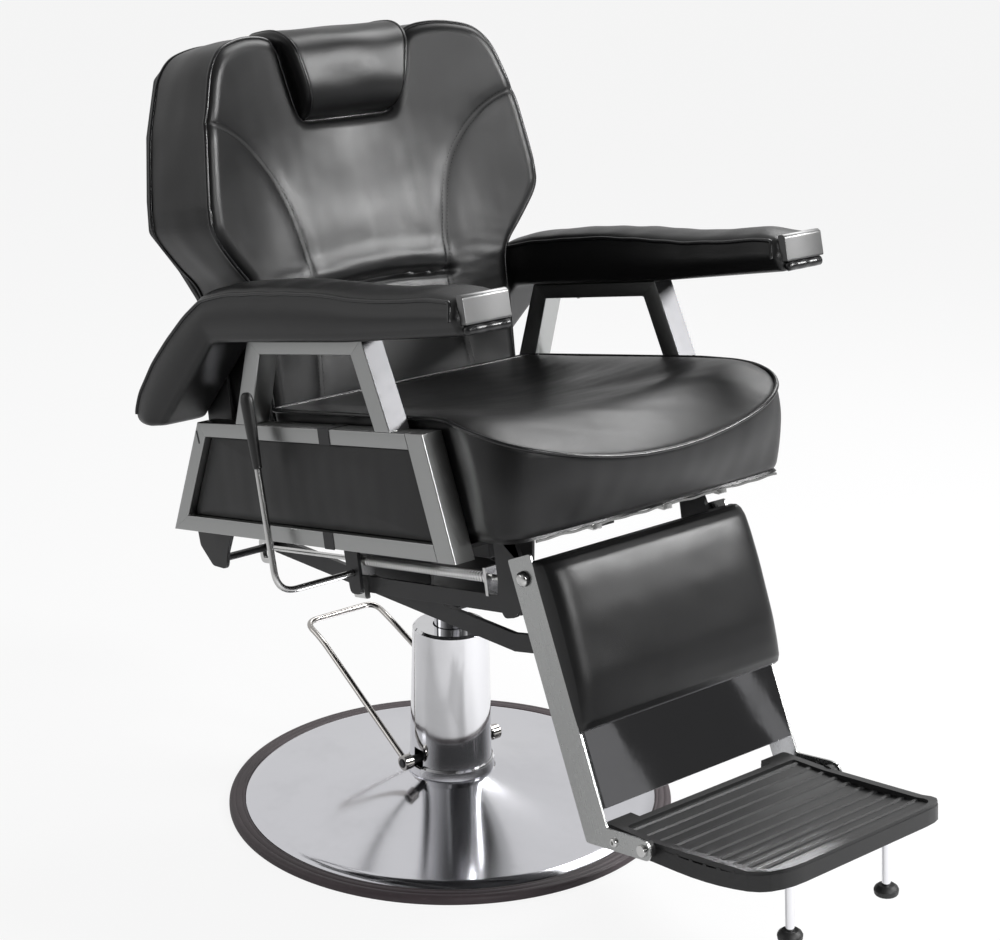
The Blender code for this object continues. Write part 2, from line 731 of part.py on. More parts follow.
def build_lift(world):
    """The piston and the head on which the seat turns."""
    lift = make_frame("lift_axis", (0.0, 0.0, 0.0), parent=world)
    top = SWIVEL_HEAD_BOTTOM - GAP
    piston = [(0.0, PISTON_FOOT), (PISTON_RADIUS - 0.002, PISTON_FOOT), (PISTON_RADIUS, PISTON_FOOT + 0.002),
              (PISTON_RADIUS, top), (0.0, top)]
    add("piston", turned(piston, ROUND), lift, "chrome", 30)
    head_top = SWIVEL_HEAD_BOTTOM + SWIVEL_HEAD_THICKNESS
    head = [(0.0, SWIVEL_HEAD_BOTTOM), (SWIVEL_HEAD_RADIUS - 0.003, SWIVEL_HEAD_BOTTOM),
            (SWIVEL_HEAD_RADIUS, SWIVEL_HEAD_BOTTOM + 0.003), (SWIVEL_HEAD_RADIUS, head_top), (0.0, head_top)]
    add("swivel_head", turned(head, ROUND), lift, "black_steel", 30)


# ---------------------------------------------------------------- seat frame pieces
def build_mount(turning, seat):
    """Bracket on the swivel head, cradle rails and cross tubes."""
    low = SWIVEL_HEAD_BOTTOM + SWIVEL_HEAD_THICKNESS + GAP
    plate_top = low + MOUNT_PLATE_THICKNESS
    half = MOUNT_PLATE_HALF
    mount = add("seat_mount_bracket", box((-half, half), (-half, half), (low, plate_top)), turning, "black_steel")
    tube_bottom = CROSS_TUBE_TOP - CROSS_TUBE_HEIGHT
    rail_bottom = tube_bottom - GAP - CRADLE_HEIGHT

    def under_rail(y):
        return SEAT_HEIGHT + (rail_bottom + 0.002) / math.cos(SEAT_RAKE) - y * math.tan(SEAT_RAKE)

    web_half = MOUNT_WEB_HALF
    web = [(-web_half, plate_top - 0.001), (web_half, plate_top - 0.001),
           (web_half, under_rail(web_half)), (-web_half, under_rail(-web_half))]
    for _, side in sides():
        reach = mirrored(CRADLE_X + 0.004, CRADLE_X + 0.004 + MOUNT_WEB_THICKNESS, side)
        join(mount, prism(web, *reach), turning)
        reach = mirrored(CRADLE_X, CRADLE_X + CRADLE_WIDTH, side)
        join(mount, box(reach, (FRONT_TUBE[0], REAR_TUBE[1]), (rail_bottom, tube_bottom - GAP)), seat)
    bevel(mount, 0.0015, 1)

    reach = FRAME_OUTER_X - FRAME_DEPTH - GAP
    for name, (rear, front) in (("front_cross_tube", FRONT_TUBE), ("rear_cross_tube", REAR_TUBE)):
        outer = [(rear, tube_bottom), (front, tube_bottom), (front, CROSS_TUBE_TOP), (rear, CROSS_TUBE_TOP)]
        inner = inset(outer, [TUBE_WALL] * 4)
        tube = hollow_prism(rounded_outline(outer, 0.003, 2), rounded_outline(inner, 0.002, 2), -reach, reach)
        add(name, tube, seat, "black_steel", 30)


def build_side_frames(seat):
    """Mitred side frames, their panels and the arm frames."""
    inner_x = FRAME_OUTER_X - FRAME_DEPTH
    inner = inset(SIDE_FRAME, SIDE_RAILS)
    foot = SIDE_FRAME[2][1] + GAP
    bar_bottom = ARM_BAR_TOP - ARM_BAR_HEIGHT
    arm = [(ARM_FRONT_FOOT[0], foot), (ARM_FRONT_HEAD[0], ARM_BAR_TOP), (ARM_REAR_HEAD[1], ARM_BAR_TOP),
           (ARM_REAR_FOOT[1], foot), (ARM_REAR_FOOT[0], foot), (ARM_REAR_HEAD[0], bar_bottom),
           (ARM_FRONT_HEAD[1], bar_bottom), (ARM_FRONT_FOOT[1], foot)]
    hollow_outer = inset(SIDE_FRAME, [TUBE_WALL] * 4)
    hollow_inner = inset(SIDE_FRAME, [width - TUBE_WALL for width in SIDE_RAILS])
    wall = TUBE_WALL * 1.1
    arm_hollow = [(ARM_FRONT_FOOT[0] + wall, foot - 0.01), (ARM_FRONT_HEAD[0] + wall, ARM_BAR_TOP - TUBE_WALL),
                  (ARM_REAR_HEAD[1] - wall, ARM_BAR_TOP - TUBE_WALL), (ARM_REAR_FOOT[1] - wall, foot - 0.01),
                  (ARM_REAR_FOOT[0] + wall, foot - 0.01), (ARM_REAR_HEAD[0] + wall, bar_bottom + TUBE_WALL),
                  (ARM_FRONT_HEAD[1] - wall, bar_bottom + TUBE_WALL), (ARM_FRONT_FOOT[1] - wall, foot - 0.01)]
    for side_name, side in sides():
        reach = mirrored(inner_x, FRAME_OUTER_X, side)
        frame = add(f"side_frame_{side_name}", hollow_prism(SIDE_FRAME, inner, *reach), seat, "brushed_chrome", 30)
        bevel(frame, FRAME_BEVEL, 1)
        hollow = mirrored(inner_x + TUBE_WALL, FRAME_OUTER_X - TUBE_WALL, side)
        cut(frame, hollow_prism(hollow_outer, hollow_inner, *hollow), seat)
        for centre in ACCESS_HOLES:
            hole = pin(ACCESS_HOLE_RADIUS, *mirrored(inner_x - 0.01, inner_x + 0.01, side), centre, 12)
            cut(frame, hole, seat)
        arm_frame = add(f"arm_frame_{side_name}", prism(arm, *reach), seat, "brushed_chrome", 30)
        bevel(arm_frame, FRAME_BEVEL, 1)
        cut(arm_frame, prism(arm_hollow, *hollow), seat)
        panel = side_panel(inset(inner, [SOFT_GAP] * 4), inner_x, side)
        add(f"side_panel_{side_name}", panel, seat, "vinyl", 60)


def side_panel(outline, inner_x, side):
    """A padded panel with a slight crown on its outer face."""
    outline = rounded_outline(outline, 0.004, 2)
    centre = sum((Vector(p) for p in outline), Vector((0.0, 0.0))) / len(outline)
    base = inner_x + (FRAME_DEPTH - SIDE_PANEL_DEPTH) / 2.0
    edge = base + SIDE_PANEL_DEPTH - SIDE_PANEL_CROWN
    layers = [(base, 1.0), (edge - 0.004, 1.0), (edge, 0.985)]
    layers += [(edge + SIDE_PANEL_CROWN * (1.0 - f ** 3), f) for f in (0.93, 0.8, 0.55)]
    rings = []
    for x, scale in layers:
        rings.append([(x * side, *blend(centre, Vector(p), scale)) for p in outline])
    return loft(rings)


def superellipse(half_x, y_range, power, count):
    """Points of a rounded rectangle about the middle of a y range, with their sine."""
    middle, half_y = (y_range[0] + y_range[1]) / 2, (y_range[1] - y_range[0]) / 2
    points = []
    for k in range(count):
        angle = 2.0 * math.pi * (k + 0.5) / count
        c, s = math.cos(angle), math.sin(angle)
        x = half_x * math.copysign(abs(c) ** (2.0 / power), c)
        y = middle + half_y * math.copysign(abs(s) ** (2.0 / power), s)
        points.append((x, y, s))
    return points


def seat_nose(x, y):
    """Spread of the cushion in front of the side frames."""
    return x * (1.0 + SEAT_NOSE_SPREAD / SEAT_HALF_WIDTH * smooth_step((SEAT_NOSE_START - y) / 0.045))


def seat_cushion_shape():
    """Deep cushion with a bowed, dropping front edge and a dished top."""
    count = 44
    top_edge = []
    for x, y, s in superellipse(SEAT_HALF_WIDTH, (SEAT_FRONT, SEAT_REAR), SEAT_SQUARENESS, count):
        front = max(0.0, -s) ** 2
        across = 1.0 - (x / SEAT_HALF_WIDTH) ** 2
        drop = front * SEAT_FRONT_DROP * (0.42 + 0.58 * across)
        top_edge.append(Vector((seat_nose(x, y), y - SEAT_BOW * across * front, SEAT_SIDE_HEIGHT - drop)))
    foot = [Vector((seat_nose(x, y), y, SEAT_BOTTOM)) for x, y, _ in
            superellipse(SEAT_HALF_WIDTH - 0.004, (SEAT_BOTTOM_FRONT, SEAT_REAR - 0.003), SEAT_SQUARENESS, count)]
    middle = Vector((0.0, (SEAT_FRONT + SEAT_REAR) / 2, 0.0))
    rings = [[blend(middle, p, 0.96) + Vector((0, 0, SEAT_BOTTOM * 0.04)) for p in foot]]
    for t in (0.05, 0.35, 0.7, 0.94, 1.0):
        draw = 1.0 - SEAT_DRAW_IN / SEAT_HALF_WIDTH * math.sin(math.pi * t)
        ring = [blend(a, b, t) for a, b in zip(foot, top_edge)]
        rings.append([Vector((p.x * draw, middle.y + (p.y - middle.y) * draw, p.z)) for p in ring])
    for f in (0.975, 0.93, 0.84, 0.70, 0.54, 0.36, 0.18):
        ring = []
        for p in top_edge:
            x, y = p.x * f, middle.y + (p.y - middle.y) * f
            z = blend(SEAT_DISH_HEIGHT, p.z, f ** 2.4) + SEAT_PUFF * (1.0 - f ** 9)
            ring.append(Vector((x, y, z)))
        rings.append(ring)
    rings.append([(0.0, middle.y, SEAT_DISH_HEIGHT + SEAT_PUFF)])
    return loft(rings)


def rounded_section(x0, x1, low, high, round_off, crown):
    """Cross-section between a low and a high point, with a crowned top."""
    half = (x1 - x0) / 2
    middle = (x0 + x1) / 2
    height = (high - low).length
    up = (high - low) / height
    r = min(round_off, height * 0.45)
    corners = ((-1, 0), (-1, 1), (1, 1), (1, 0))
    ring = []
    for sx, top in corners:
        start = {(-1, 0): 270, (-1, 1): 180, (1, 1): 90, (1, 0): 0}[(sx, top)]
        for k in range(3):
            angle = math.radians(start - 45.0 * k)
            x = sx * (half - r) + r * math.cos(angle)
            v = (height - r if top else r) + r * math.sin(angle)
            if top:
                v += crown * (1.0 - (x / half) ** 2)
            ring.append(Vector((middle + x, low.x + up.x * v, low.y + up.y * v)))
        if (sx, top) == (-1, 1):
            ring.append(Vector((middle, low.x + up.x * (height + crown), low.y + up.y * (height + crown))))
    return ring


def arm_pad_shape(side):
    """Padded arm: a long flat top that turns down behind the elbow."""
    bar = ARM_BAR_TOP + GAP
    nose_top, nose_foot = ARM_PAD_NOSE
    heel = [Vector(p) for p in ARM_PAD_HEEL]
    crook, tip = Vector((ARM_PAD_CROOK[0], bar)), Vector(ARM_PAD_TIP[0])
    front_low, front_high = Vector((nose_foot, bar)), Vector((nose_top, ARM_PAD_TOP))
    stations = [(front_low, front_high, 0.0)]
    for t in (0.02, 0.08, 0.22, 0.4, 0.6, 0.8, 0.95):
        swell = Vector((0.0, ARM_PAD_SWELL * math.sin(math.pi * t)))
        crown = ARM_PAD_CROWN * min(1.0, t / 0.08)
        stations.append((blend(front_low, crook, t), blend(front_high, heel[0], t) + swell, crown))
    for k, high in enumerate(heel):
        fade = 1.0 - k / len(heel)
        stations.append((blend(crook, tip, k / (len(heel) - 1)), high, ARM_PAD_CROWN * fade))
    stations.append((Vector(ARM_PAD_TIP[1]), Vector(ARM_PAD_TIP[2]), 0.0))
    rings = []
    for low, high, crown in stations:
        ring = rounded_section(ARM_PAD_INNER_X, ARM_PAD_OUTER_X, low, high, ARM_PAD_ROUND, crown)
        rings.append([Vector((p.x * side, p.y, p.z)) for p in ring])
    return loft(rings)


def arm_plate_outline():
    """Side view of the bent end plate that covers the arm pad's nose."""
    top = Vector((ARM_PAD_NOSE[0], ARM_PAD_TOP))
    foot = Vector((ARM_PAD_NOSE[1], ARM_BAR_TOP + GAP))
    along = (foot - top).normalized()
    out = Vector((along.y, -along.x))
    if out.x > 0.0:
        out = -out
    start = top + along * 0.002 + out * GAP
    low = ARM_BAR_TOP
    inner_corner = line_crossing(start, start + along, (0.0, low), (1.0, low))
    outer_top = start + out * ARM_PLATE_THICKNESS
    outer_low = low - ARM_PLATE_THICKNESS
    outer_corner = line_crossing(outer_top, outer_top + along, (0.0, outer_low), (1.0, outer_low))
    lip = inner_corner.x + ARM_PLATE_LIP
    return [tuple(start), tuple(inner_corner), (lip, low), (lip, outer_low), tuple(outer_corner), tuple(outer_top)]


def build_seat_upholstery(seat):
    """Pan, cushion, arm pads and their end plates."""
    pan_low = CROSS_TUBE_TOP + GAP
    pan_top = min(pan_low + PAN_THICKNESS, SEAT_BOTTOM - GAP)
    pan = box((-PAN_HALF_WIDTH, PAN_HALF_WIDTH), (PAN_FRONT, PAN_REAR), (pan_low, pan_top))
    bevel(add("seat_pan", pan, seat, "board", 30), 0.002, 1)
    add("seat_cushion", seat_cushion_shape(), seat, "vinyl", 60)
    for side_name, side in sides():
        add(f"arm_pad_{side_name}", arm_pad_shape(side), seat, "vinyl", 60)
        plate = prism(arm_plate_outline(), *mirrored(*ARM_PLATE_X, side))
        bevel(add(f"arm_end_plate_{side_name}", plate, seat, "chrome", 30), 0.0006, 1)


def build_back_pivots(seat):
    """Plates inside the side frames with the pins on which the back turns."""
    y, z = BACK_PIVOT
    outer = FRAME_OUTER_X - FRAME_DEPTH - GAP
    inner = outer - PIVOT_PLATE_THICKNESS
    corners = [(y - 0.050, 0.003), (y + 0.078, 0.003), (y + 0.030, z + 0.012), (y + 0.012, z + 0.028),
               (y - 0.014, z + 0.028), (y - 0.032, z + 0.010)]
    outline = rounded_outline(corners, [0.004, 0.004, 0.012, 0.012, 0.012, 0.012], 2)
    arm_in, arm_out = BACK_ARM_X
    for side_name, side in sides():
        plate = add(f"back_pivot_{side_name}", prism(outline, *mirrored(inner, outer, side)), seat,
                    "black_steel", 30)
        steps = [(inner + 0.001, 0.014), (arm_out + GAP, 0.014), (arm_out + GAP, BACK_PIN_RADIUS),
                 (arm_in - GAP, BACK_PIN_RADIUS), (arm_in - GAP, 0.013), (arm_in - GAP - 0.005, 0.013)]
        join(plate, stepped_pin([(x * side, r) for x, r in steps], BACK_PIVOT), seat)


def build_leg_brackets(seat):
    """Brackets on the side frames with the leg rest's pivot bolts."""
    y, z = LEG_PIVOT
    bar_front = (LOCK_BAR_Y[0] + 0.014, sum(LOCK_BAR_Z) / 2)
    front, rear = LEG_HANGER_Y
    corners = [(rear, LEG_HANGER_TOP), (front, LEG_HANGER_TOP), (y + 0.010, z + 0.0205),
               (y - 0.014, z + 0.016), (y - 0.020, z - 0.004), (y - 0.010, z - 0.018),
               (bar_front[0] - 0.012, bar_front[1] - 0.010), (bar_front[0] + 0.010, bar_front[1] - 0.013),
               (bar_front[0] + 0.022, bar_front[1] + 0.010), (rear, z - 0.012)]
    outline = rounded_outline(corners, [0.0, 0.0, 0.010, 0.009, 0.009, 0.008, 0.008, 0.008, 0.010, 0.010], 2)
    inner, outer = LEG_BRACKET_X
    web_in = RAIL_OUTER_X - RAIL_WEB
    for side_name, side in sides():
        bracket = add(f"leg_bracket_{side_name}", prism(outline, *mirrored(inner, outer, side)), seat,
                      "black_steel", 30)
        steps = [(outer - 0.001, 0.012), (web_in - GAP, 0.012), (web_in - GAP, LEG_PIN_RADIUS),
                 (RAIL_OUTER_X + GAP, LEG_PIN_RADIUS), (RAIL_OUTER_X + GAP, 0.011),
                 (RAIL_OUTER_X + 0.0045, 0.010)]
        join(bracket, stepped_pin([(x * side, r) for x, r in steps], LEG_PIVOT), seat)
        flange = mirrored(outer - 0.001, FRAME_OUTER_X - FRAME_DEPTH - GAP, side)
        join(bracket, box(flange, LEG_HANGER_Y, (LEG_HANGER_TOP - 0.006, LEG_HANGER_TOP - 0.0001)), seat)
        if side < 0.0:
            spacer = pin(0.008, -inner - 0.001, lock_bar_x()[0] - GAP, bar_front)
            join(bracket, spacer, seat)


# ---------------------------------------------------------------- recline lock and lever
def lock_bar_x():
    """X range of the flat bar under the lock."""
    middle = 0.001 - LOCK_X
    return (middle - LOCK_BAR_THICKNESS / 2, middle + LOCK_BAR_THICKNESS / 2)


def lock_axis_height():
    """Height of the lock rod: level with the crank rod at rest."""
    return crank_pin(BACK_PIVOT)[1]


def spring_path(start, length):
    """Centre line of the coil spring, from its rear end forwards."""
    wire = SPRING_WIRE * 2.0
    body = length - 2.0 * wire
    total = SPRING_TURNS * SPRING_POINTS
    axis = lock_axis_height()

    def on_coil(k):
        angle = 2.0 * math.pi * k / SPRING_POINTS
        y = start - wire - body * k / total
        return Vector((-LOCK_X + SPRING_RADIUS * math.sin(angle), y, axis + SPRING_RADIUS * math.cos(angle)))

    coil = [on_coil(k) for k in range(total + 1)]
    first, last = coil[0], coil[-1]
    return [first + Vector((0, wire, 0)), *coil, last - Vector((0, wire, 0))]


def least_gap(path, radius, skip):
    """Smallest distance between the surfaces of stretches that aren't neighbours."""
    gap = math.inf
    for i in range(0, len(path)):
        for j in range(i + skip, min(i + 3 * skip, len(path))):
            gap = min(gap, (path[i] - path[j]).length - 2.0 * radius)
    return gap


def spring_shape(path):
    """Skin the spring with a five-sided wire whose ends are square to the axis."""
    rings = []
    count = len(path)
    for i, point in enumerate(path):
        if i in (0, count - 1):
            tangent = Vector((0, -1, 0))
        else:
            tangent = (path[i + 1] - path[i - 1]).normalized()
        axis_point = Vector((-LOCK_X, point.y, lock_axis_height()))
        out = (point - axis_point)
        out = (out - tangent * out.dot(tangent)).normalized()
        side = tangent.cross(out)
        rings.append([point + SPRING_WIRE * (math.cos(a) * out + math.sin(a) * side)
                      for a in (2.0 * math.pi * k / 5 for k in range(5))])
    return loft(rings)


def build_lock(seat):
    """Lock bar, yoke, spring, front plate and lever bracket under the seat's right side."""
    axis = lock_axis_height()
    bar_low, bar_top = LOCK_BAR_Z
    bar_outer, bar_inner = lock_bar_x()
    middle = (bar_low + bar_top) / 2
    ends = [(LOCK_BAR_Y[0] + 0.0125, middle), (LOCK_BAR_Y[1] - 0.0125, middle)]
    bar = prism(bar_outline(ends, bar_top - bar_low), bar_outer, bar_inner)
    add("lock_bar", bar, seat, "black_steel", 40)

    seat_low = bar_top + GAP
    left, right = -LOCK_X - YOKE_HALF_WIDTH, -LOCK_X + YOKE_HALF_WIDTH
    cheek = bar_outer - GAP
    corners = [(left, YOKE_TOP), (right, YOKE_TOP), (right, seat_low), (cheek, seat_low),
               (cheek, bar_low - 0.008), (left, bar_low - 0.008)]
    saddle = rounded_outline(corners, [0.002, 0.002, 0.002, 0.0, 0.002, 0.004], 2)
    yoke = add("lock_yoke", loft([[(x, y, z) for x, z in saddle] for y in YOKE_Y]), seat, "chrome", 30)
    bore = sweep([(-LOCK_X, YOKE_Y[0] - 0.01, axis), (-LOCK_X, YOKE_Y[1] + 0.01, axis)],
                 LOCK_ROD_RADIUS + RUNNING_GAP, SMALL_ROUND)
    cut(yoke, bore, seat)

    start = YOKE_Y[0] - GAP
    path = spring_path(start, SPRING_LENGTH)
    gap = least_gap(path, SPRING_WIRE, SPRING_POINTS - 2)
    print(f"lock spring: {len(path)} points, least gap to itself {gap * 1000:.2f} mm")
    add("lock_spring", spring_shape(path), seat, "brushed_chrome", 60)

    face = start - SPRING_LENGTH - GAP
    front = face - LOCK_PLATE_THICKNESS
    plate = add("lock_front_plate", box((-LOCK_X - 0.014, -LOCK_X + 0.014), (front, face), (seat_low, YOKE_TOP)),
                seat, "chrome", 30)
    screw = sweep([(-LOCK_X, front + 0.001, axis), (-LOCK_X, front - 0.024, axis)], 0.0045, SMALL_ROUND)
    join(plate, screw, seat)
    plug_radius = SPRING_RADIUS - SPRING_WIRE - 0.0008
    plug = sweep([(-LOCK_X, face - 0.001, axis), (-LOCK_X, face + 0.012, axis)], plug_radius, SMALL_ROUND)
    join(plate, plug, seat)

    outer = left - GAP
    lever_y = LEVER_AXIS[0]
    half = LEVER_BRACKET_WIDTH / 2
    tube_low = CROSS_TUBE_TOP - CROSS_TUBE_HEIGHT - GAP
    strap = rounded_outline([(lever_y - half, tube_low), (lever_y + half, tube_low),
                             (lever_y + half - 0.004, bar_low), (lever_y - half + 0.004, bar_low)],
                            [0.0, 0.0, 0.010, 0.010], 3)
    bracket = add("lever_bracket", prism(strap, outer - LEVER_BRACKET_THICKNESS, outer), seat, "black_steel", 30)
    cut(bracket, pin(LEVER_ROD_RADIUS + RUNNING_GAP, outer - 0.02, outer + 0.02, LEVER_AXIS), seat)


def build_lock_rod(seat):
    """The rod that the spring clutch grips, with the slotted eye on the crank rod."""
    y, axis = crank_pin(BACK_PIVOT)
    slider = make_frame("lock_rod_axis", (-LOCK_X, y, axis), parent=seat, origin=(-LOCK_X, y, axis))
    slot_half = CRANK_ROD_RADIUS + LOCK_EYE_PLAY
    top = axis + CRANK_ROD_RADIUS + RUNNING_GAP
    low = axis - crank_sag() - CRANK_ROD_RADIUS - RUNNING_GAP
    wall = LOCK_EYE_WALL
    corners = [(y - slot_half - wall, low - wall), (y + slot_half + wall, low - wall),
               (y + slot_half + wall, top + wall), (y - slot_half - wall, top + wall)]
    half = LOCK_EYE_THICKNESS / 2
    eye = prism(rounded_outline(corners, 0.010, 3), -LOCK_X - half, -LOCK_X + half)
    rod = add("lock_rod", eye, slider, "chrome", 30)
    slot = rounded_outline([(y - slot_half, low), (y + slot_half, low), (y + slot_half, top),
                            (y - slot_half, top)], slot_half * 0.55, 3)
    cut(rod, prism(slot, -LOCK_X - 2 * half, -LOCK_X + 2 * half), slider)
    bar = sweep([(-LOCK_X, y - slot_half - wall / 2, axis), (-LOCK_X, LOCK_ROD_FRONT, axis)],
                LOCK_ROD_RADIUS - 0.0001, SMALL_ROUND)
    join(rod, bar, slider)


def build_lever(seat):
    """Hand lever beside the seat that frees the lock."""
    y, z = LEVER_AXIS
    lever = make_frame("lever_axis", (-LEVER_X, y, z), parent=seat, origin=(-LEVER_X, y, z))
    inner = -LOCK_X - YOKE_HALF_WIDTH - 2 * GAP
    top = Vector((-LEVER_X, *LEVER_TOP))
    corner = Vector((-LEVER_X, y, z))
    grip_foot = top + (corner - top).normalized() * LEVER_GRIP_LENGTH
    path = rounded_path([(inner, y, z), corner, grip_foot + (corner - top).normalized() * GAP], 0.022, 5)
    add("lever_rod", sweep(path, LEVER_ROD_RADIUS, 12), lever, "chrome", 50)
    down = (grip_foot - top).normalized()
    radii = [(0.0, 0.55), (0.05, 0.86), (0.12, 1.0), (0.45, 0.92), (0.8, 0.74), (0.96, 0.66), (1.0, 0.58)]
    side, depth = Vector((1, 0, 0)), Vector((1, 0, 0)).cross(down)
    rings = []
    for t, scale in radii:
        centre = blend(top, grip_foot, t)
        rings.append([centre + LEVER_GRIP_RADIUS * scale * (0.78 * math.cos(a) * side + math.sin(a) * depth)
                      for a in (2.0 * math.pi * k / 12 for k in range(12))])
    add("lever_grip", loft(rings), lever, "plastic", 60)


# ---------------------------------------------------------------- back
def back_upper_edge(x):
    """Top edge of the back at a distance from the middle."""
    low, high = NOTCH_HALF_LOW, NOTCH_HALF_TOP
    table = [(0.0, NOTCH_BOTTOM), (low - 0.018, NOTCH_BOTTOM), (low - 0.006, NOTCH_BOTTOM + 0.005),
             (low + 0.001, NOTCH_BOTTOM + 0.022), (high - 0.006, BACK_TOP - 0.024),
             (high + 0.006, BACK_TOP - 0.007), (high + 0.028, BACK_TOP)]
    table += [(across, BACK_TOP - drop) for across, drop in BACK_SHOULDER]
    table += [*BACK_WING_EDGE, (BACK_WING_HALF, BACK_TIP_HIGH)]
    return at(table, x)


def back_lower_edge(x):
    """Bottom edge of the back at a distance from the middle."""
    half = BACK_LOW_HALF
    table = [(0.0, BACK_BOTTOM), (half - 0.010, BACK_BOTTOM), (half, BACK_BOTTOM + 0.010)]
    table += [(half + beyond, height) for beyond, height in BACK_WAIST_CORNER]
    table += [*BACK_UNDER_WING, (BACK_WING_HALF, BACK_TIP_LOW)]
    return at(table, x)


def back_face(x, z):
    """Depth of the front panel: wings forward, middle dished, lumbar fold below."""
    side = min(abs(x) / BACK_WING_HALF, 1.0)
    rise = smooth_step((z - BACK_BOTTOM) / 0.15)
    dish = blend(BACK_DISH_LOW, BACK_DISH_TOP, smooth_step((z - 0.30) / 0.30))
    dish = blend(BACK_FOOT_DISH, dish, rise)
    depth = BACK_FRONT_EDGE + BACK_FOOT_EASE * (1.0 - rise) + dish * (1.0 - side ** 1.6)
    across = smooth_step((0.175 - abs(x)) / 0.05)
    fold = LUMBAR_FOLD_DEPTH * math.exp(-((z - LUMBAR_FOLD_HEIGHT) / 0.011) ** 2) * across
    return depth + fold


def back_cushion_shape():
    """Winged back with a notch for the headrest, built in columns."""
    half = BACK_LOW_HALF
    low, high = NOTCH_HALF_LOW, NOTCH_HALF_TOP
    fold = LUMBAR_FOLD_HEIGHT
    offsets = [0.0, 0.040, low - 0.018, low - 0.006, low + 0.001, high - 0.006, high + 0.006, high + 0.028,
               BACK_SHOULDER[0][0], half - 0.010, half, *(half + beyond for beyond, height in BACK_WAIST_CORNER),
               BACK_UNDER_WING[0][0], *BACK_TIP_COLUMNS, BACK_WING_HALF]
    columns = [-x for x in reversed(offsets[1:])] + offsets
    rows_low = [BACK_BOTTOM, BACK_BOTTOM + 0.006, BACK_BOTTOM + 0.022, BACK_BOTTOM + 0.085, fold - 0.042,
                fold - 0.014, fold, fold + 0.014, fold + 0.034, fold + BACK_ABOVE_FOLD]
    rows_high = [0.35, 0.65, 0.86, 0.96, 1.0]

    def column(x):
        bottom, top = back_lower_edge(abs(x)), back_upper_edge(abs(x))
        low_column = bottom < BACK_WAIST_CORNER[1][1] + 0.001
        waist = fold + BACK_ABOVE_FOLD if low_column else blend(bottom, top, 0.35)
        scale = (waist - bottom) / (rows_low[-1] - rows_low[0])
        return [bottom + (z - rows_low[0]) * scale for z in rows_low] + [blend(waist, top, t) for t in rows_high]

    grid = [[Vector((x, z)) for z in column(x)] for x in columns]
    width, height = len(columns), len(grid[0])
    edge = [(i, 0) for i in range(width)] + [(width - 1, j) for j in range(1, height)]
    edge += [(i, height - 1) for i in range(width - 2, -1, -1)] + [(0, j) for j in range(height - 2, 0, -1)]
    border = [grid[i][j] for i, j in edge]

    def to_border(p):
        best = math.inf
        for a, b in zip(border, border[1:] + border[:1]):
            span = b - a
            t = min(max((p - a).dot(span) / max(span.length_squared, 1e-12), 0.0), 1.0)
            best = min(best, (p - a - span * t).length)
        return best

    points, faces = [], []
    for i in range(width):
        for j in range(height):
            p = grid[i][j]
            inside = min(to_border(p), BACK_EDGE_ROUND)
            rest = BACK_EDGE_ROUND - inside
            round_off = BACK_EDGE_ROUND - math.sqrt(max(BACK_EDGE_ROUND ** 2 - rest ** 2, 0.0))
            points.append(Vector((p.x, back_face(p.x, p.y) + round_off, p.y)))
    for i in range(width - 1):
        for j in range(height - 1):
            a = i * height + j
            faces.append((a, a + height, a + height + 1, a + 1))
    previous = [i * height + j for i, j in edge]
    count = len(edge)
    for t in (0.3, 0.7, 1.0):
        ring = []
        for k, (i, j) in enumerate(edge):
            p = border[k]
            along = border[(k + 1) % count] - border[k - 1]
            inward = Vector((-along.y, along.x)).normalized()
            p = p + inward * BACK_DRAW_IN * math.sin(math.pi * t)
            start = points[i * height + j].y
            ring.append(len(points))
            points.append(Vector((p.x, blend(start, BACK_REAR, t), p.y)))
        for k in range(count):
            n = (k + 1) % count
            faces.append((previous[k], previous[n], ring[n], ring[k]))
        previous = ring
    faces.append(tuple(previous))
    return Shape(points, faces)


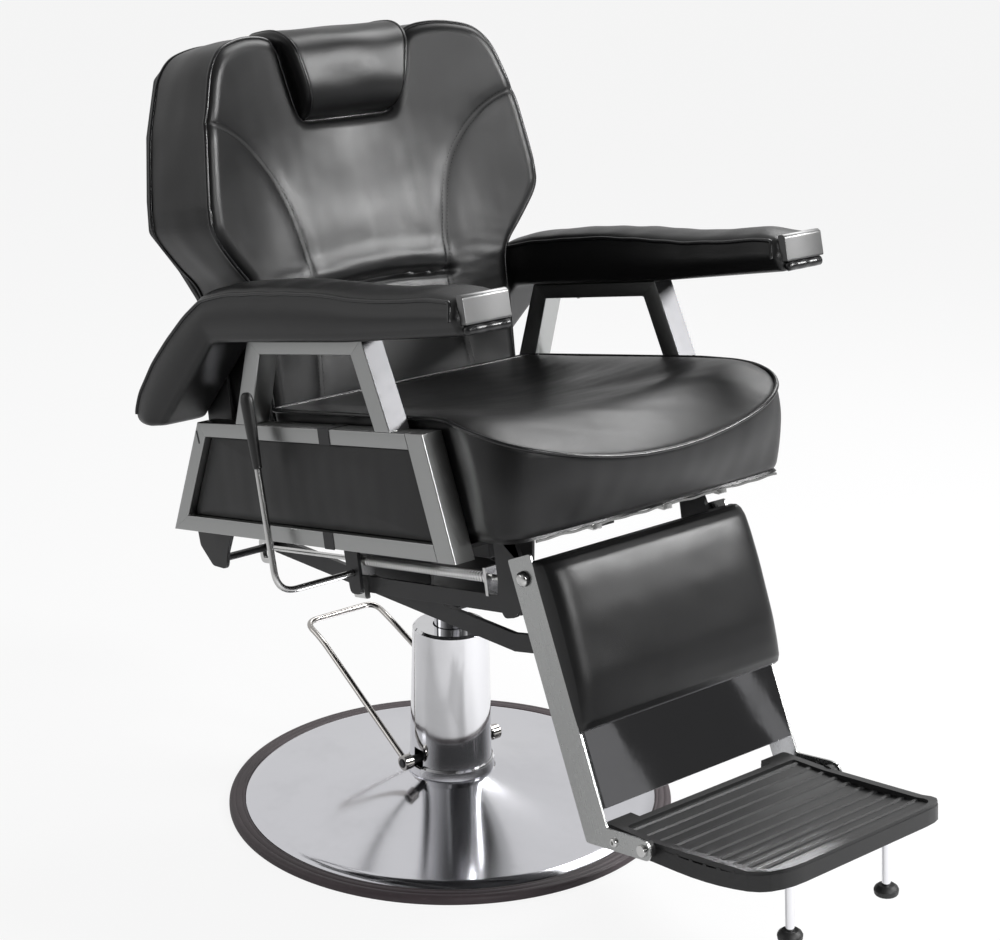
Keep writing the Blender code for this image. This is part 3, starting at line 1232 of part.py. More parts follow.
def build_back(seat):
    """Back cushion, board, arms, crank rod and headrest guide."""
    pivot = (0.0, *BACK_PIVOT)
    back = make_frame("back_axis", pivot, parent=seat, origin=pivot)
    cushion = add("back_cushion", back_cushion_shape(), back, "vinyl", 60)
    guide_half = POST_HALF_WIDTH + GAP + GUIDE_WALL
    post_front = HEADREST_REAR + GAP
    post_rear = post_front + POST_THICKNESS
    guide_front = post_front - GAP - GUIDE_WALL
    groove = box((-guide_half - 0.001, guide_half + 0.001), (guide_front - 0.001, BACK_REAR + 0.01),
                 (GUIDE_FOOT - 0.012, NOTCH_BOTTOM + 0.02))
    cut(cushion, groove, back)

    margin = BOARD_MARGIN
    side_low = BACK_ARM_X[0] - GAP
    waist = BACK_WAIST_CORNER[0][1] + 0.002
    under, (wing, tip) = BACK_UNDER_WING[0], BACK_WING_EDGE
    shoulder = BACK_SHOULDER[2]
    half_outline = [(side_low, BACK_BOTTOM + margin), (side_low, waist), (under[0], under[1] + 0.004),
                    (tip[0], BACK_TIP_LOW + 0.004), (tip[0] - 0.004, tip[1] + 0.002), (wing[0] - 0.004, wing[1]),
                    (shoulder[0] - 0.004, BACK_TOP - shoulder[1] + 0.001), (0.228, BACK_TOP - 0.014)]
    corners = half_outline + [(-x, z) for x, z in reversed(half_outline)]
    outline = rounded_outline(corners, 0.014, 2)
    rear = BACK_REAR + GAP
    board = loft([[(x, y, z) for x, z in outline] for y in (rear, rear + BOARD_THICKNESS)])
    bevel(add("back_board", board, back, "board", 30), 0.003, 1)

    y, z = BACK_PIVOT
    tip_y, tip_z = crank_pin(BACK_PIVOT)
    edge = rear + BOARD_THICKNESS + 0.002
    corners = [(y - 0.042, BACK_ARM_TOP), (y - 0.042, z + 0.120), (y - 0.028, z + 0.008), (y - 0.018, z - 0.026),
               (tip_y - 0.022, tip_z + 0.012), (tip_y - 0.012, tip_z - 0.016), (tip_y + 0.026, tip_z - 0.013),
               (tip_y + 0.056, tip_z + 0.018), (tip_y + 0.058, tip_z + 0.044), (y + 0.040, z - 0.008),
               (y + 0.030, z + 0.030), (edge, z + 0.120), (edge, BACK_ARM_TOP)]
    radii = [0.010, 0.03, 0.02, 0.02, 0.010, 0.012, 0.012, 0.012, 0.010, 0.02, 0.03, 0.03, 0.010]
    hook = rounded_outline(corners, radii, 3)
    for side_name, side in sides():
        arm = add(f"back_arm_{side_name}", prism(hook, *mirrored(*BACK_ARM_X, side)), back, "black_steel", 30)
        reach = mirrored(BACK_ARM_X[0] - 0.01, BACK_ARM_X[1] + 0.01, side)
        cut(arm, pin(BACK_PIN_RADIUS + RUNNING_GAP, *reach, BACK_PIVOT), back)

    reach = BACK_ARM_X[0] - GAP
    add("crank_rod", pin(CRANK_ROD_RADIUS, -reach, reach, (tip_y, tip_z)), back, "black_steel", 40)

    outer = [(-guide_half, guide_front), (guide_half, guide_front), (guide_half, BACK_REAR), (-guide_half, BACK_REAR)]
    inner_half = POST_HALF_WIDTH + GAP
    inner = [(-inner_half, post_front - GAP), (inner_half, post_front - GAP),
             (inner_half, post_rear + GAP), (-inner_half, post_rear + GAP)]
    rings = [(outer, GUIDE_FOOT), (outer, GUIDE_TOP), (inner, GUIDE_TOP), (inner, GUIDE_FOOT)]
    sleeve = loft([[(x, depth, height) for x, depth in ring] for ring, height in rings], closed=True)
    add("headrest_guide", sleeve, back, "black_steel", 30)
    build_headrest(back)
    build_drag_link(back)


def headrest_shape():
    """A rounded roll that tapers with the notch."""
    stations = [(-1.0, 0.80), (-0.98, 0.92), (-0.88, 0.985), (-0.5, 1.0), (0.0, 1.0), (0.5, 1.0),
                (0.88, 0.985), (0.98, 0.92), (1.0, 0.80)]
    bottom = NOTCH_BOTTOM + HEADREST_SEAT
    centre = Vector((0.178, 0.672))
    section = []
    for k in range(16):
        angle = 2.0 * math.pi * (k + 0.5) / 16
        c, s = math.cos(angle), math.sin(angle)
        power = 2.0 / (2.6 if c < 0 else 6.0)
        reach = centre.x - HEADREST_FRONT if c < 0 else HEADREST_REAR - centre.x
        rise = HEADREST_TOP - centre.y if s > 0 else centre.y - bottom
        section.append((centre.x + reach * math.copysign(abs(c) ** power, c),
                        centre.y + rise * math.copysign(abs(s) ** (2.0 / 3.0), s)))
    rings = []
    for across, scale in stations:
        ring = []
        for y, z in section:
            t = (z - bottom) / (BACK_TOP - bottom)
            half = blend(NOTCH_HALF_LOW - 0.004, NOTCH_HALF_TOP, t) - HEADREST_CLEARANCE
            pulled = Vector((HEADREST_REAR, centre.y)) + (Vector((y, z)) - Vector((HEADREST_REAR, centre.y))) * scale
            ring.append((across * half, pulled.x, pulled.y))
        rings.append(ring)
    return loft(rings)


def build_headrest(back):
    """Headrest pad and the flat post that slides in its guide."""
    start = (0.0, HEADREST_REAR, POST_FOOT)
    local = tuple(a - b for a, b in zip(start, back.origin))
    head = make_frame("headrest_axis", local, parent=back, origin=start)
    add("headrest_pad", headrest_shape(), head, "vinyl", 60)
    front = HEADREST_REAR + GAP
    post = box((-POST_HALF_WIDTH, POST_HALF_WIDTH), (front, front + POST_THICKNESS), (POST_FOOT, POST_TOP))
    bevel(add("headrest_post", post, head, "chrome", 30), 0.001, 1)


def build_drag_link(back):
    """Bent bar that carries the back's swing to the leg rest."""
    rear = crank_pin(BACK_PIVOT)
    front = crank_pin(LEG_PIVOT)
    start = (0.0, *rear)
    local = tuple(a - b for a, b in zip(start, back.origin))
    link = make_frame("drag_link_axis", local, parent=back, origin=start)
    bend = (front[0] + LINK_BEND, front[1] - 0.002)
    reach = (-LINK_X - LINK_THICKNESS, -LINK_X)
    outline = bar_outline([rear, bend, front], LINK_WIDTH)
    bar = add("drag_link", prism(outline, *reach), link, "black_steel", 30)
    span = (reach[0] - 0.01, reach[1] + 0.01)
    cut(bar, pin(CRANK_ROD_RADIUS + RUNNING_GAP, *span, rear), link)
    cut(bar, pin(LINK_PIN_RADIUS + LINK_PIN_PLAY, *span, front), link)


# ---------------------------------------------------------------- leg rest
def build_leg_rest(seat):
    """Rails, kick panel, pad and cross tube on the leg rest's hinge."""
    leg = make_frame("leg_axis", (0.0, *LEG_PIVOT), -LEG_LEAN, parent=seat)
    py, pz = FOOT_PIVOT
    web = [(RAIL_REAR, RAIL_TOP), (RAIL_FRONT, RAIL_TOP), (RAIL_FRONT, RAIL_BOTTOM + 0.016),
           (py, pz + 0.016), (py - 0.013, pz + 0.010), (py - 0.015, pz - 0.006), (py - 0.004, pz - 0.015),
           (RAIL_FRONT, RAIL_BOTTOM - 0.014), (RAIL_REAR, RAIL_BOTTOM)]
    outline = rounded_outline(web, [0.004, 0.004, 0.006, 0.006, 0.007, 0.007, 0.006, 0.010, 0.004], 2)
    inner = RAIL_OUTER_X - RAIL_WEB
    for side_name, side in sides():
        rail = add(f"leg_rail_{side_name}", prism(outline, *mirrored(inner, RAIL_OUTER_X, side)), leg,
                   "brushed_chrome", 30)
        flange_in = RAIL_OUTER_X - RAIL_FLANGE
        front = box(mirrored(flange_in, inner + 0.001, side), (RAIL_FRONT + 0.0002, RAIL_FRONT + RAIL_WEB),
                    (FLANGE_BOTTOM, FLANGE_TOP))
        join(rail, front, leg)
        rear = box(mirrored(inner - 0.012, inner + 0.001, side), (RAIL_REAR - RAIL_WEB, RAIL_REAR - 0.0002),
                   (FLANGE_BOTTOM, REAR_FLANGE_TOP))
        join(rail, rear, leg)
        span = mirrored(inner - 0.01, RAIL_OUTER_X + 0.01, side)
        cut(rail, pin(LEG_PIN_RADIUS + GAP, *span, (0.0, 0.0)), leg)
        cut(rail, pin(FOOT_BOLT_RADIUS + GAP, *span, FOOT_PIVOT), leg)

    panel_rear = RAIL_FRONT - GAP
    panel_front = panel_rear - KICK_PANEL_THICKNESS
    panel = box((-KICK_PANEL_HALF, KICK_PANEL_HALF), (panel_front, panel_rear), (FLANGE_BOTTOM, FLANGE_TOP - 0.004))
    bevel(add("kick_panel", panel, leg, "polished_panel", 30), 0.0008, 1)
    add("leg_pad", leg_pad_shape(panel_front - GAP), leg, "vinyl", 60)

    tube_reach = inner - GAP
    tube = add("leg_cross_tube", pin(LEG_TUBE_RADIUS, -tube_reach, tube_reach, (0.0, LEG_TUBE_HEIGHT), 18),
               leg, "black_steel", 30)
    link_pin = in_leg_frame(crank_pin(LEG_PIVOT))
    lug_x = (-LINK_X + GAP, -LINK_X + GAP + 0.006)
    lug = bar_outline([(0.0, LEG_TUBE_HEIGHT), link_pin], 0.026)
    join(tube, prism(lug, *lug_x), leg)
    link_outer = -LINK_X - LINK_THICKNESS - GAP
    steps = [(lug_x[0] + 0.001, LINK_PIN_RADIUS), (link_outer, LINK_PIN_RADIUS), (link_outer, 0.009),
             (link_outer - 0.004, 0.009)]
    join(tube, stepped_pin(steps, link_pin), leg)
    return leg


def leg_pad_shape(rear):
    """Pad that is thicker at the top, with a rolled top edge."""
    levels = [(0.0, 0.0), (0.012, 0.55), (0.05, 0.90), (0.14, 1.0), (0.35, 1.0), (0.6, 1.0), (0.82, 1.0),
              (0.915, 0.94), (0.965, 0.76), (0.99, 0.48), (1.0, 0.0)]
    across = [-1.0, -0.985, -0.93, -0.75, -0.4, 0.0, 0.4, 0.75, 0.93, 0.985, 1.0]
    edge = 0.25
    rings = []
    for t, fullness in levels:
        z = blend(LEG_PAD_BOTTOM, LEG_PAD_TOP, t)
        front = at(LEG_PAD_FRONT, z)
        half = LEG_PAD_HALF - 0.004 * (1.0 - fullness)
        line = []
        for u in across:
            side = 0.62 + 0.38 * (1.0 - abs(u) ** 18)
            depth = (front - rear) * (edge + (1.0 - edge) * fullness) * side
            line.append(Vector((u * half, rear + depth, z)))
        back_line = [Vector((u * half, rear, z)) for u in (1.0, 0.0, -1.0)]
        rings.append(line + back_line)
    return loft(rings)


# ---------------------------------------------------------------- footrest
def tray_lip(y):
    """How far the tray curls up at a distance from the hinge."""
    t = (TRAY_LIP_START - y) / (TRAY_LIP_START - TRAY_FRONT)
    return TRAY_LIP_RISE * max(0.0, min(t, 1.0)) ** 2


def curl(shape):
    """Raise the points of a shape along the front lip."""
    return Shape([Vector((p.x, p.y, p.z + tray_lip(p.y))) for p in shape.points], shape.faces)


def tray_profile():
    """Side view of the tray: a ribbed floor over a flat underside."""
    rib_start, rib_end = TRAY_REAR - TRAY_NOTCH_DEPTH - 0.016, TRAY_FRONT + TRAY_RIM_WIDTH + 0.018
    pitch = (rib_start - rib_end) / RIB_COUNT
    top = [(TRAY_REAR, TRAY_FLOOR)]
    for k in range(RIB_COUNT):
        y = rib_start - pitch * k
        crest = TRAY_FLOOR + RIB_HEIGHT
        top += [(y, TRAY_FLOOR), (y - 0.0015, crest), (y - RIB_WIDTH + 0.0015, crest), (y - RIB_WIDTH, TRAY_FLOOR)]
    top += [(TRAY_FRONT + 0.012, TRAY_FLOOR), (TRAY_FRONT, TRAY_FLOOR)]
    steps = 7
    under = [(blend(TRAY_FRONT, TRAY_LIP_START, k / steps), TRAY_BOTTOM) for k in range(steps + 1)]
    return top + under + [(TRAY_REAR, TRAY_BOTTOM)]


def tray_plan(half, front, rear, radius):
    """Plan of the tray with round front corners."""
    narrow = half - TRAY_TAPER
    corners = [(half, rear), (half, 0.0), (narrow, front), (-narrow, front), (-half, 0.0), (-half, rear)]
    return rounded_outline(corners, [0.006, 0.0, radius, radius, 0.0, 0.006], 5)


def build_footrest(leg):
    """Ribbed tray that folds up on its bolts, with its two legs."""
    level = LEG_LEAN + SEAT_RAKE - FOOT_PITCH
    foot = make_frame("footrest_axis", (0.0, *FOOT_PIVOT), level, parent=leg)
    floor = curl(prism(tray_profile(), -TRAY_HALF_WIDTH - 0.01, TRAY_HALF_WIDTH + 0.01))
    tray = add("footrest_tray", floor, foot, "rubber", 30)
    plan = tray_plan(TRAY_HALF_WIDTH, TRAY_FRONT + 0.0005, TRAY_REAR - 0.0005, TRAY_CORNER)
    combine(tray, loft([[(x, y, z) for x, y in plan] for z in (-0.08, 0.08)]), foot, "INTERSECT")
    rim_inner = tray_plan(TRAY_HALF_WIDTH - TRAY_RIM_WIDTH, TRAY_FRONT + TRAY_RIM_WIDTH,
                          TRAY_REAR - TRAY_NOTCH_DEPTH - TRAY_RIM_WIDTH, TRAY_CORNER - TRAY_RIM_WIDTH)
    rim_outer = tray_plan(TRAY_HALF_WIDTH - 0.0005, TRAY_FRONT + 0.001, TRAY_REAR - 0.001, TRAY_CORNER)
    base = TRAY_FLOOR - 0.003
    crest = TRAY_FLOOR + TRAY_RIM_HEIGHT
    rings = [(rim_outer, base), (rim_outer, crest), (rim_inner, crest), (rim_inner, base)]
    rim = loft([[(x, y, z) for x, y in ring] for ring, z in rings], closed=True)
    join(tray, curl(rim), foot)
    notch = box((-TRAY_NOTCH_HALF, TRAY_NOTCH_HALF), (TRAY_REAR - TRAY_NOTCH_DEPTH, TRAY_REAR + 0.02), (-0.05, 0.05))
    cut(tray, notch, foot)

    inner = RAIL_OUTER_X - RAIL_WEB
    for side_name, side in sides():
        boss = pin(0.012, *mirrored(TRAY_HALF_WIDTH - 0.002, inner - GAP, side), (0.0, 0.0))
        join(tray, boss, foot)
        depth = TRAY_HALF_WIDTH - 0.016
        cut(tray, pin(FOOT_BOLT_RADIUS + GAP, *mirrored(depth - GAP, inner + 0.01, side), (0.0, 0.0)), foot)
        steps = [(depth, FOOT_BOLT_RADIUS), (RAIL_OUTER_X + GAP, FOOT_BOLT_RADIUS), (RAIL_OUTER_X + GAP, 0.0085),
                 (RAIL_OUTER_X + 0.0045, 0.0080)]
        bolt = stepped_pin([(x * side, r) for x, r in steps], (0.0, 0.0))
        add(f"footrest_bolt_{side_name}", bolt, foot, "chrome", 30)

        stand = Vector((FOOT_LEG_X * side, FOOT_LEG_Y, 0.0))
        top = TRAY_BOTTOM + tray_lip(FOOT_LEG_Y + FOOT_LEG_RADIUS) - GAP
        low = FOOT_LEG_FOOT
        leg_shape = sweep([stand + Vector((0, 0, top)), stand + Vector((0, 0, low))], FOOT_LEG_RADIUS, SMALL_ROUND)
        add(f"foot_leg_{side_name}", leg_shape, foot, "chrome", 40)
        pad_top = low - GAP
        radius = FOOT_PAD_RADIUS
        profile = [(0.0, pad_top), (radius - 0.006, pad_top), (radius - 0.002, pad_top - 0.003),
                   (radius, pad_top - 0.007), (radius - 0.001, pad_top - FOOT_PAD_HEIGHT + 0.002),
                   (radius - 0.003, pad_top - FOOT_PAD_HEIGHT), (0.0, pad_top - FOOT_PAD_HEIGHT)]
        pad = turned(profile, 18)
        pad = Shape([p + stand for p in pad.points], pad.faces)
        add(f"foot_pad_{side_name}", pad, foot, "rubber", 40)


# ---------------------------------------------------------------- chair
def build_chair():
    """Build every piece of the chair."""
    clear_scene()
    world = make_frame("floor", (0.0, 0.0, 0.0))
    build_base(world)
    build_pedal(world)
    build_lift(world)
    turning = make_frame("swivel_axis", (0.0, 0.0, 0.0), parent=world)
    seat = make_frame("seat_rake", (0.0, 0.0, SEAT_HEIGHT), -SEAT_RAKE, parent=turning)
    build_mount(turning, seat)
    build_side_frames(seat)
    build_seat_upholstery(seat)
    build_back_pivots(seat)
    build_leg_brackets(seat)
    build_lock(seat)
    build_lock_rod(seat)
    build_lever(seat)
    build_back(seat)
    leg = build_leg_rest(seat)
    build_footrest(leg)


build_chair()
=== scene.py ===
"""Looks of the hydraulic barber chair: upholstery, plated metal, rubber, floor and light."""

import logging
import math
from abc import ABC, abstractmethod
from dataclasses import dataclass, field
from enum import Enum

import bmesh
import bpy
import numpy as np
from mathutils import Matrix, Vector


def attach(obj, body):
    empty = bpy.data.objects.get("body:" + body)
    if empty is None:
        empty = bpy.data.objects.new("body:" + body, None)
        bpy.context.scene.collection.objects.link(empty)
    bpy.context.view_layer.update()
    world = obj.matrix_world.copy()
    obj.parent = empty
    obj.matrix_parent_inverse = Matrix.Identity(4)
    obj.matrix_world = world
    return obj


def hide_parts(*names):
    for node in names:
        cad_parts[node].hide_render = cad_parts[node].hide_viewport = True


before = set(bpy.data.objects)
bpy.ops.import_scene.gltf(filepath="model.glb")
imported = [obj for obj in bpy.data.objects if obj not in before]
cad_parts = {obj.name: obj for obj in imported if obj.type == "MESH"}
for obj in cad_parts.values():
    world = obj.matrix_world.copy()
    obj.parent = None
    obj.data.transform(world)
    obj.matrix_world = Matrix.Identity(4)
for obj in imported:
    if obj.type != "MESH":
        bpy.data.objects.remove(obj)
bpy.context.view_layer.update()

LOG = logging.getLogger("barber_chair")
Array = np.ndarray
Pair = tuple[float, float]
Triple = tuple[float, float, float]

PHOTO_SIZE = (1000, 940)


class Body(Enum):
    """The chair's moving bodies."""

    BASE = "base"
    PEDAL = "pump_pedal"
    LIFT = "lift"
    SEAT = "seat"
    BACK = "back"
    HEADREST = "headrest"
    DRAG_LINK = "drag_link"
    LOCK_ROD = "lock_rod"
    LEVER = "hand_lever"
    LEG_REST = "leg_rest"
    FOOTREST = "footrest"


class Side(Enum):
    """Left and right as the sitter has them."""

    LEFT = 1.0
    RIGHT = -1.0

    @property
    def word(self) -> str:
        """Name used at the end of a node's name."""
        return self.name.lower()


# ---------------------------------------------------------------- frames
@dataclass(frozen=True)
class TiltedFrame:
    """A frame turned about X, with its origin at a (y, z) place in the world."""

    y: float
    z: float
    lean: float

    def world(self, points: Array) -> Array:
        """Turn points of this frame into world points.

        Args:
            points: Any array whose last axis is x, y, z.

        Returns:
            An array of the same shape.
        """
        c, s = math.cos(self.lean), math.sin(self.lean)
        x, y, z = points[..., 0], points[..., 1], points[..., 2]
        return np.stack([x, self.y + y * c - z * s, self.z + y * s + z * c], axis=-1)


SEAT_FRAME = TiltedFrame(0.0, 0.492, math.radians(-11.75))
LEG_FRAME = TiltedFrame(-0.388423, 0.529893, math.radians(-25.55))


# ---------------------------------------------------------------- shader expressions
class Value:
    """A number that varies over a surface and takes part in plain arithmetic."""

    def __init__(self, nodes: "NodeSet", socket: bpy.types.NodeSocket) -> None:
        """Keep the socket and the node set that it belongs to."""
        self.nodes = nodes
        self.socket = socket

    def _math(self, operation: str, *operands: "Value | float") -> "Value":
        """Add one Math node.

        Args:
            operation: The Math node's operation.
            operands: Values or numbers, in the node's order.

        Returns:
            The node's result.
        """
        node = self.nodes.tree.nodes.new("ShaderNodeMath")
        node.operation = operation
        for slot, operand in zip(node.inputs, operands):
            self.nodes.feed(slot, operand)
        return Value(self.nodes, node.outputs[0])

    def __add__(self, other: "Value | float") -> "Value":
        """Sum."""
        return self._math("ADD", self, other)

    __radd__ = __add__

    def __sub__(self, other: "Value | float") -> "Value":
        """Difference."""
        return self._math("SUBTRACT", self, other)

    def __rsub__(self, other: float) -> "Value":
        """Difference from a number."""
        return self._math("SUBTRACT", other, self)

    def __mul__(self, other: "Value | float") -> "Value":
        """Product."""
        return self._math("MULTIPLY", self, other)

    __rmul__ = __mul__

    def __truediv__(self, other: "Value | float") -> "Value":
        """Quotient."""
        return self._math("DIVIDE", self, other)

    def __pow__(self, other: float) -> "Value":
        """Power."""
        return self._math("POWER", self, other)

    def __abs__(self) -> "Value":
        """Size without sign."""
        return self._math("ABSOLUTE", self)

    def clamp(self) -> "Value":
        """Keep between 0 and 1."""
        return self._math("MINIMUM", self._math("MAXIMUM", self, 0.0), 1.0)

    def step(self, low: float, high: float) -> "Value":
        """Ease from 0 at low to 1 at high.

        Args:
            low: Where the result is 0.
            high: Where the result is 1.

        Returns:
            t * t * (3 - 2 t) for t = (value - low) / (high - low), kept between 0 and 1.
        """
        t = ((self - low) / (high - low)).clamp()
        return t * t * (3.0 - 2.0 * t)


Feed = Value | float | tuple | bpy.types.NodeSocket
Looks = dict[str, Feed]


class NodeSet:
    """The nodes of one material, added by type."""

    def __init__(self, tree: bpy.types.NodeTree) -> None:
        """Keep the tree that the nodes go into."""
        self.tree = tree

    def feed(self, socket: bpy.types.NodeSocket, value: Feed) -> None:
        """Link a value to a socket, or set the socket's own number or colour."""
        if isinstance(value, Value):
            self.tree.links.new(value.socket, socket)
        elif isinstance(value, bpy.types.NodeSocket):
            self.tree.links.new(value, socket)
        else:
            socket.default_value = value

    def make(self, kind: str, settings: dict | None = None, **inputs: Feed) -> bpy.types.Node:
        """Add one node.

        Args:
            kind: The node's type.
            settings: Properties that are set first.
            inputs: Values by socket name, with _ for a blank.

        Returns:
            The node.
        """
        node = self.tree.nodes.new(kind)
        for name, value in (settings or {}).items():
            setattr(node, name, value)
        for name, value in inputs.items():
            wanted = name.replace("_", " ")
            socket = next(s for s in node.inputs if s.name == wanted and s.enabled)
            self.feed(socket, value)
        return node

    def place(self, scale: Triple = (1.0, 1.0, 1.0),
              turn: Triple = (0.0, 0.0, 0.0)) -> bpy.types.NodeSocket:
        """Object coordinates, turned by one Mapping node and stretched by a second."""
        source = self.make("ShaderNodeTexCoord").outputs["Object"]
        turned = self.make("ShaderNodeMapping", None, Vector=source, Rotation=turn)
        return self.make("ShaderNodeMapping", None, Vector=turned.outputs[0], Scale=scale).outputs[0]

    def noise(self, where: bpy.types.NodeSocket, scale: float, detail: float = 2.0,
              roughness: float = 0.5, distortion: float = 0.0) -> Value:
        """Cloudy noise between 0 and 1."""
        node = self.make("ShaderNodeTexNoise", {"noise_dimensions": "3D"}, Vector=where, Scale=scale,
                         Detail=detail, Roughness=roughness, Distortion=distortion)
        return Value(self, node.outputs[0])

    def cells(self, where: bpy.types.NodeSocket, scale: float, feature: str = "DISTANCE_TO_EDGE",
              randomness: float = 1.0) -> Value:
        """Distance in a field of irregular cells."""
        node = self.make("ShaderNodeTexVoronoi", {"feature": feature}, Vector=where, Scale=scale,
                         Randomness=randomness)
        return Value(self, node.outputs["Distance"])

    def mark(self, name: str) -> Value:
        """A number that the mesh carries on its points."""
        node = self.make("ShaderNodeAttribute", {"attribute_name": name})
        return Value(self, node.outputs["Fac"])

    def mixed(self, factor: Value | float, low: Triple, high: Triple) -> bpy.types.NodeSocket:
        """A colour between two colours."""
        node = self.make("ShaderNodeMix", {"data_type": "RGBA"}, Factor=factor, A=(*low, 1.0), B=(*high, 1.0))
        return next(s for s in node.outputs if s.enabled)

    def bump(self, height: Value, depth: float, strength: float = 1.0) -> bpy.types.NodeSocket:
        """A normal from a height between 0 and 1, depth metres tall."""
        node = self.make("ShaderNodeBump", None, Height=height, Distance=depth, Strength=strength)
        return node.outputs[0]


# ---------------------------------------------------------------- finishes
@dataclass(frozen=True)
class Finish(ABC):
    """A surface finish that carries the name of one of the record's material slots; each kind adds its own
    pattern.
    """

    name: str
    slot: str
    color: Triple
    roughness: float
    metallic: float = 0.0
    specular: float = 0.5

    def material(self) -> bpy.types.Material:
        """Return this finish's material, made on first use."""
        name = f"{self.name}_finish"
        found = bpy.data.materials.get(name)
        if found:
            return found
        made = bpy.data.materials.new(name)
        made.use_nodes = True
        made.diffuse_color = (*self.color, 1.0)
        nodes = NodeSet(made.node_tree)
        shader = made.node_tree.nodes["Principled BSDF"]
        plain = {"Base Color": (*self.color, 1.0), "Roughness": self.roughness,
                 "Metallic": self.metallic, "Specular IOR Level": self.specular}
        for settings in (plain, self.pattern(nodes)):
            for socket, value in settings.items():
                nodes.feed(shader.inputs[socket], value)
        return made

    def lighter(self, by: float) -> Triple:
        """This finish's colour, multiplied."""
        return tuple(min(c * by, 1.0) for c in self.color)

    @abstractmethod
    def pattern(self, nodes: NodeSet) -> Looks:
        """Add the nodes that vary the surface.

        Args:
            nodes: The material's nodes.

        Returns:
            What goes into each of the shader's inputs, by the input's name.
        """


@dataclass(frozen=True)
class Vinyl(Finish):
    """Upholstery vinyl: pebbled grain, fine stretch creases, painted shade along seams and piping, and
    lighter, glossier patches in the middle of the seat and of the back, the back's patch being a painted
    highlight.
    """

    grain: float = 620.0
    depth: float = 0.00012
    crackle: float = 0.25

    def pattern(self, nodes: NodeSet) -> Looks:
        """Pebbles from cell edges, hair creases from stretched ridged noise."""
        here = nodes.place()
        warp = nodes.noise(here, 55.0, 2.0)
        pebbles = nodes.cells(here, self.grain, randomness=0.9)
        pebble = (pebbles * 3.2).clamp() ** 0.6
        fine = nodes.noise(here, 2100.0, 1.0)
        upright = nodes.place((1.0, 0.8, 0.32))
        ridge = abs(nodes.noise(upright, 62.0, 5.0, 0.66, 0.35) - 0.5)
        crease = 1.0 - ridge.step(0.0, 0.035)
        crackle = crease * warp.step(0.42, 0.66) * self.crackle
        cloud = nodes.noise(here, 7.0, 3.0)
        seam, worn = nodes.mark("seam"), nodes.mark("worn")
        # The tone is darker along seams and piping, which is painted shade. It is lighter in the middle of
        # the seat and of the back, and the back's patch is a painted highlight.
        tone = (0.35 * cloud + 0.35 * worn + 0.18 * pebble).clamp() * (1.0 - 0.55 * seam)
        rough = self.roughness + 0.16 * (cloud - 0.5) + 0.06 * crackle - 0.02 * worn + 0.12 * seam
        height = pebble * 0.55 + fine * 0.15 - crackle * 0.9
        return {"Base Color": nodes.mixed(tone, self.lighter(0.72), self.lighter(1.7)),
                "Roughness": rough,
                "Normal": nodes.bump(height, self.depth, 0.85)}


@dataclass(frozen=True)
class Piping(Finish):
    """Narrow piping: the same vinyl pulled tight, so smoother and shinier."""

    def pattern(self, nodes: NodeSet) -> Looks:
        """Fine crosswise puckers and a faint grain."""
        here = nodes.place()
        pucker = nodes.noise(here, 260.0, 2.0)
        grain = nodes.cells(here, 1100.0)
        height = pucker * 0.7 + (grain * 3.0).clamp() * 0.3
        return {"Base Color": nodes.mixed(pucker, self.lighter(0.8), self.lighter(1.5)),
                "Roughness": self.roughness * (0.8 + 0.4 * pucker),
                "Normal": nodes.bump(height, 0.00016, 0.6)}


@dataclass(frozen=True)
class Plated(Finish):
    """Bright plating: faint polishing haze, hairlines and a few water marks."""

    metallic: float = 1.0
    haze: float = 0.05
    ripple: float = 0.00005

    def pattern(self, nodes: NodeSet) -> Looks:
        """Cloudy haze in the roughness and a barely uneven sheet."""
        here = nodes.place()
        cloud = nodes.noise(here, 12.0, 4.0, 0.6)
        lines = nodes.noise(nodes.place((40.0, 40.0, 900.0)), 1.0, 2.0)
        spots = 1.0 - nodes.cells(here, 90.0, "F1").step(0.03, 0.10)
        smear = (cloud.step(0.45, 0.75) * 0.7 + spots * 0.25 + lines * 0.25).clamp()
        return {"Base Color": nodes.mixed(smear, self.color, self.lighter(0.94)),
                "Roughness": self.roughness + self.haze * smear,
                "Normal": nodes.bump(nodes.noise(here, 34.0, 2.0), self.ripple, 0.5)}


class Grain(Enum):
    """Which way a brushed face was rubbed."""

    ALONG_RAIL = "rail"
    ACROSS_CHAIR = "x"
    UPRIGHT = "z"


@dataclass(frozen=True)
class Brushed(Finish):
    """Satin plating with fine brush lines along one direction."""

    metallic: float = 1.0
    grain: Grain = Grain.ALONG_RAIL
    depth: float = 0.00004
    lean: float = 0.0

    def lines(self, nodes: NodeSet) -> bpy.types.NodeSocket:
        """Coordinates that are stretched along the brush lines."""
        if self.grain is Grain.ALONG_RAIL:
            along, across = nodes.mark("along"), nodes.mark("across")
            joined = nodes.make("ShaderNodeCombineXYZ", None, X=along * 9.0, Y=across * 1500.0, Z=0.0)
            return joined.outputs[0]
        if self.grain is Grain.ACROSS_CHAIR:
            return nodes.place((9.0, 1300.0, 1300.0), (self.lean, 0.0, 0.0))
        return nodes.place((1300.0, 1300.0, 9.0), (self.lean, 0.0, 0.0))

    def pattern(self, nodes: NodeSet) -> Looks:
        """Two sizes of brush line, fingerprints and edge rub."""
        lines = nodes.noise(self.lines(nodes), 1.0, 3.0, 0.7)
        cloud = nodes.noise(nodes.place(), 16.0, 4.0, 0.62)
        rub = nodes.noise(nodes.place(), 75.0, 3.0).step(0.55, 0.8)
        tone = (0.6 * lines + 0.4 * cloud).clamp()
        return {"Base Color": nodes.mixed(tone, self.lighter(0.96), self.lighter(1.04)),
                "Roughness": self.roughness + 0.04 * (lines - 0.5) + 0.06 * (cloud - 0.5) + 0.04 * rub,
                "Normal": nodes.bump(lines, self.depth, 0.12)}


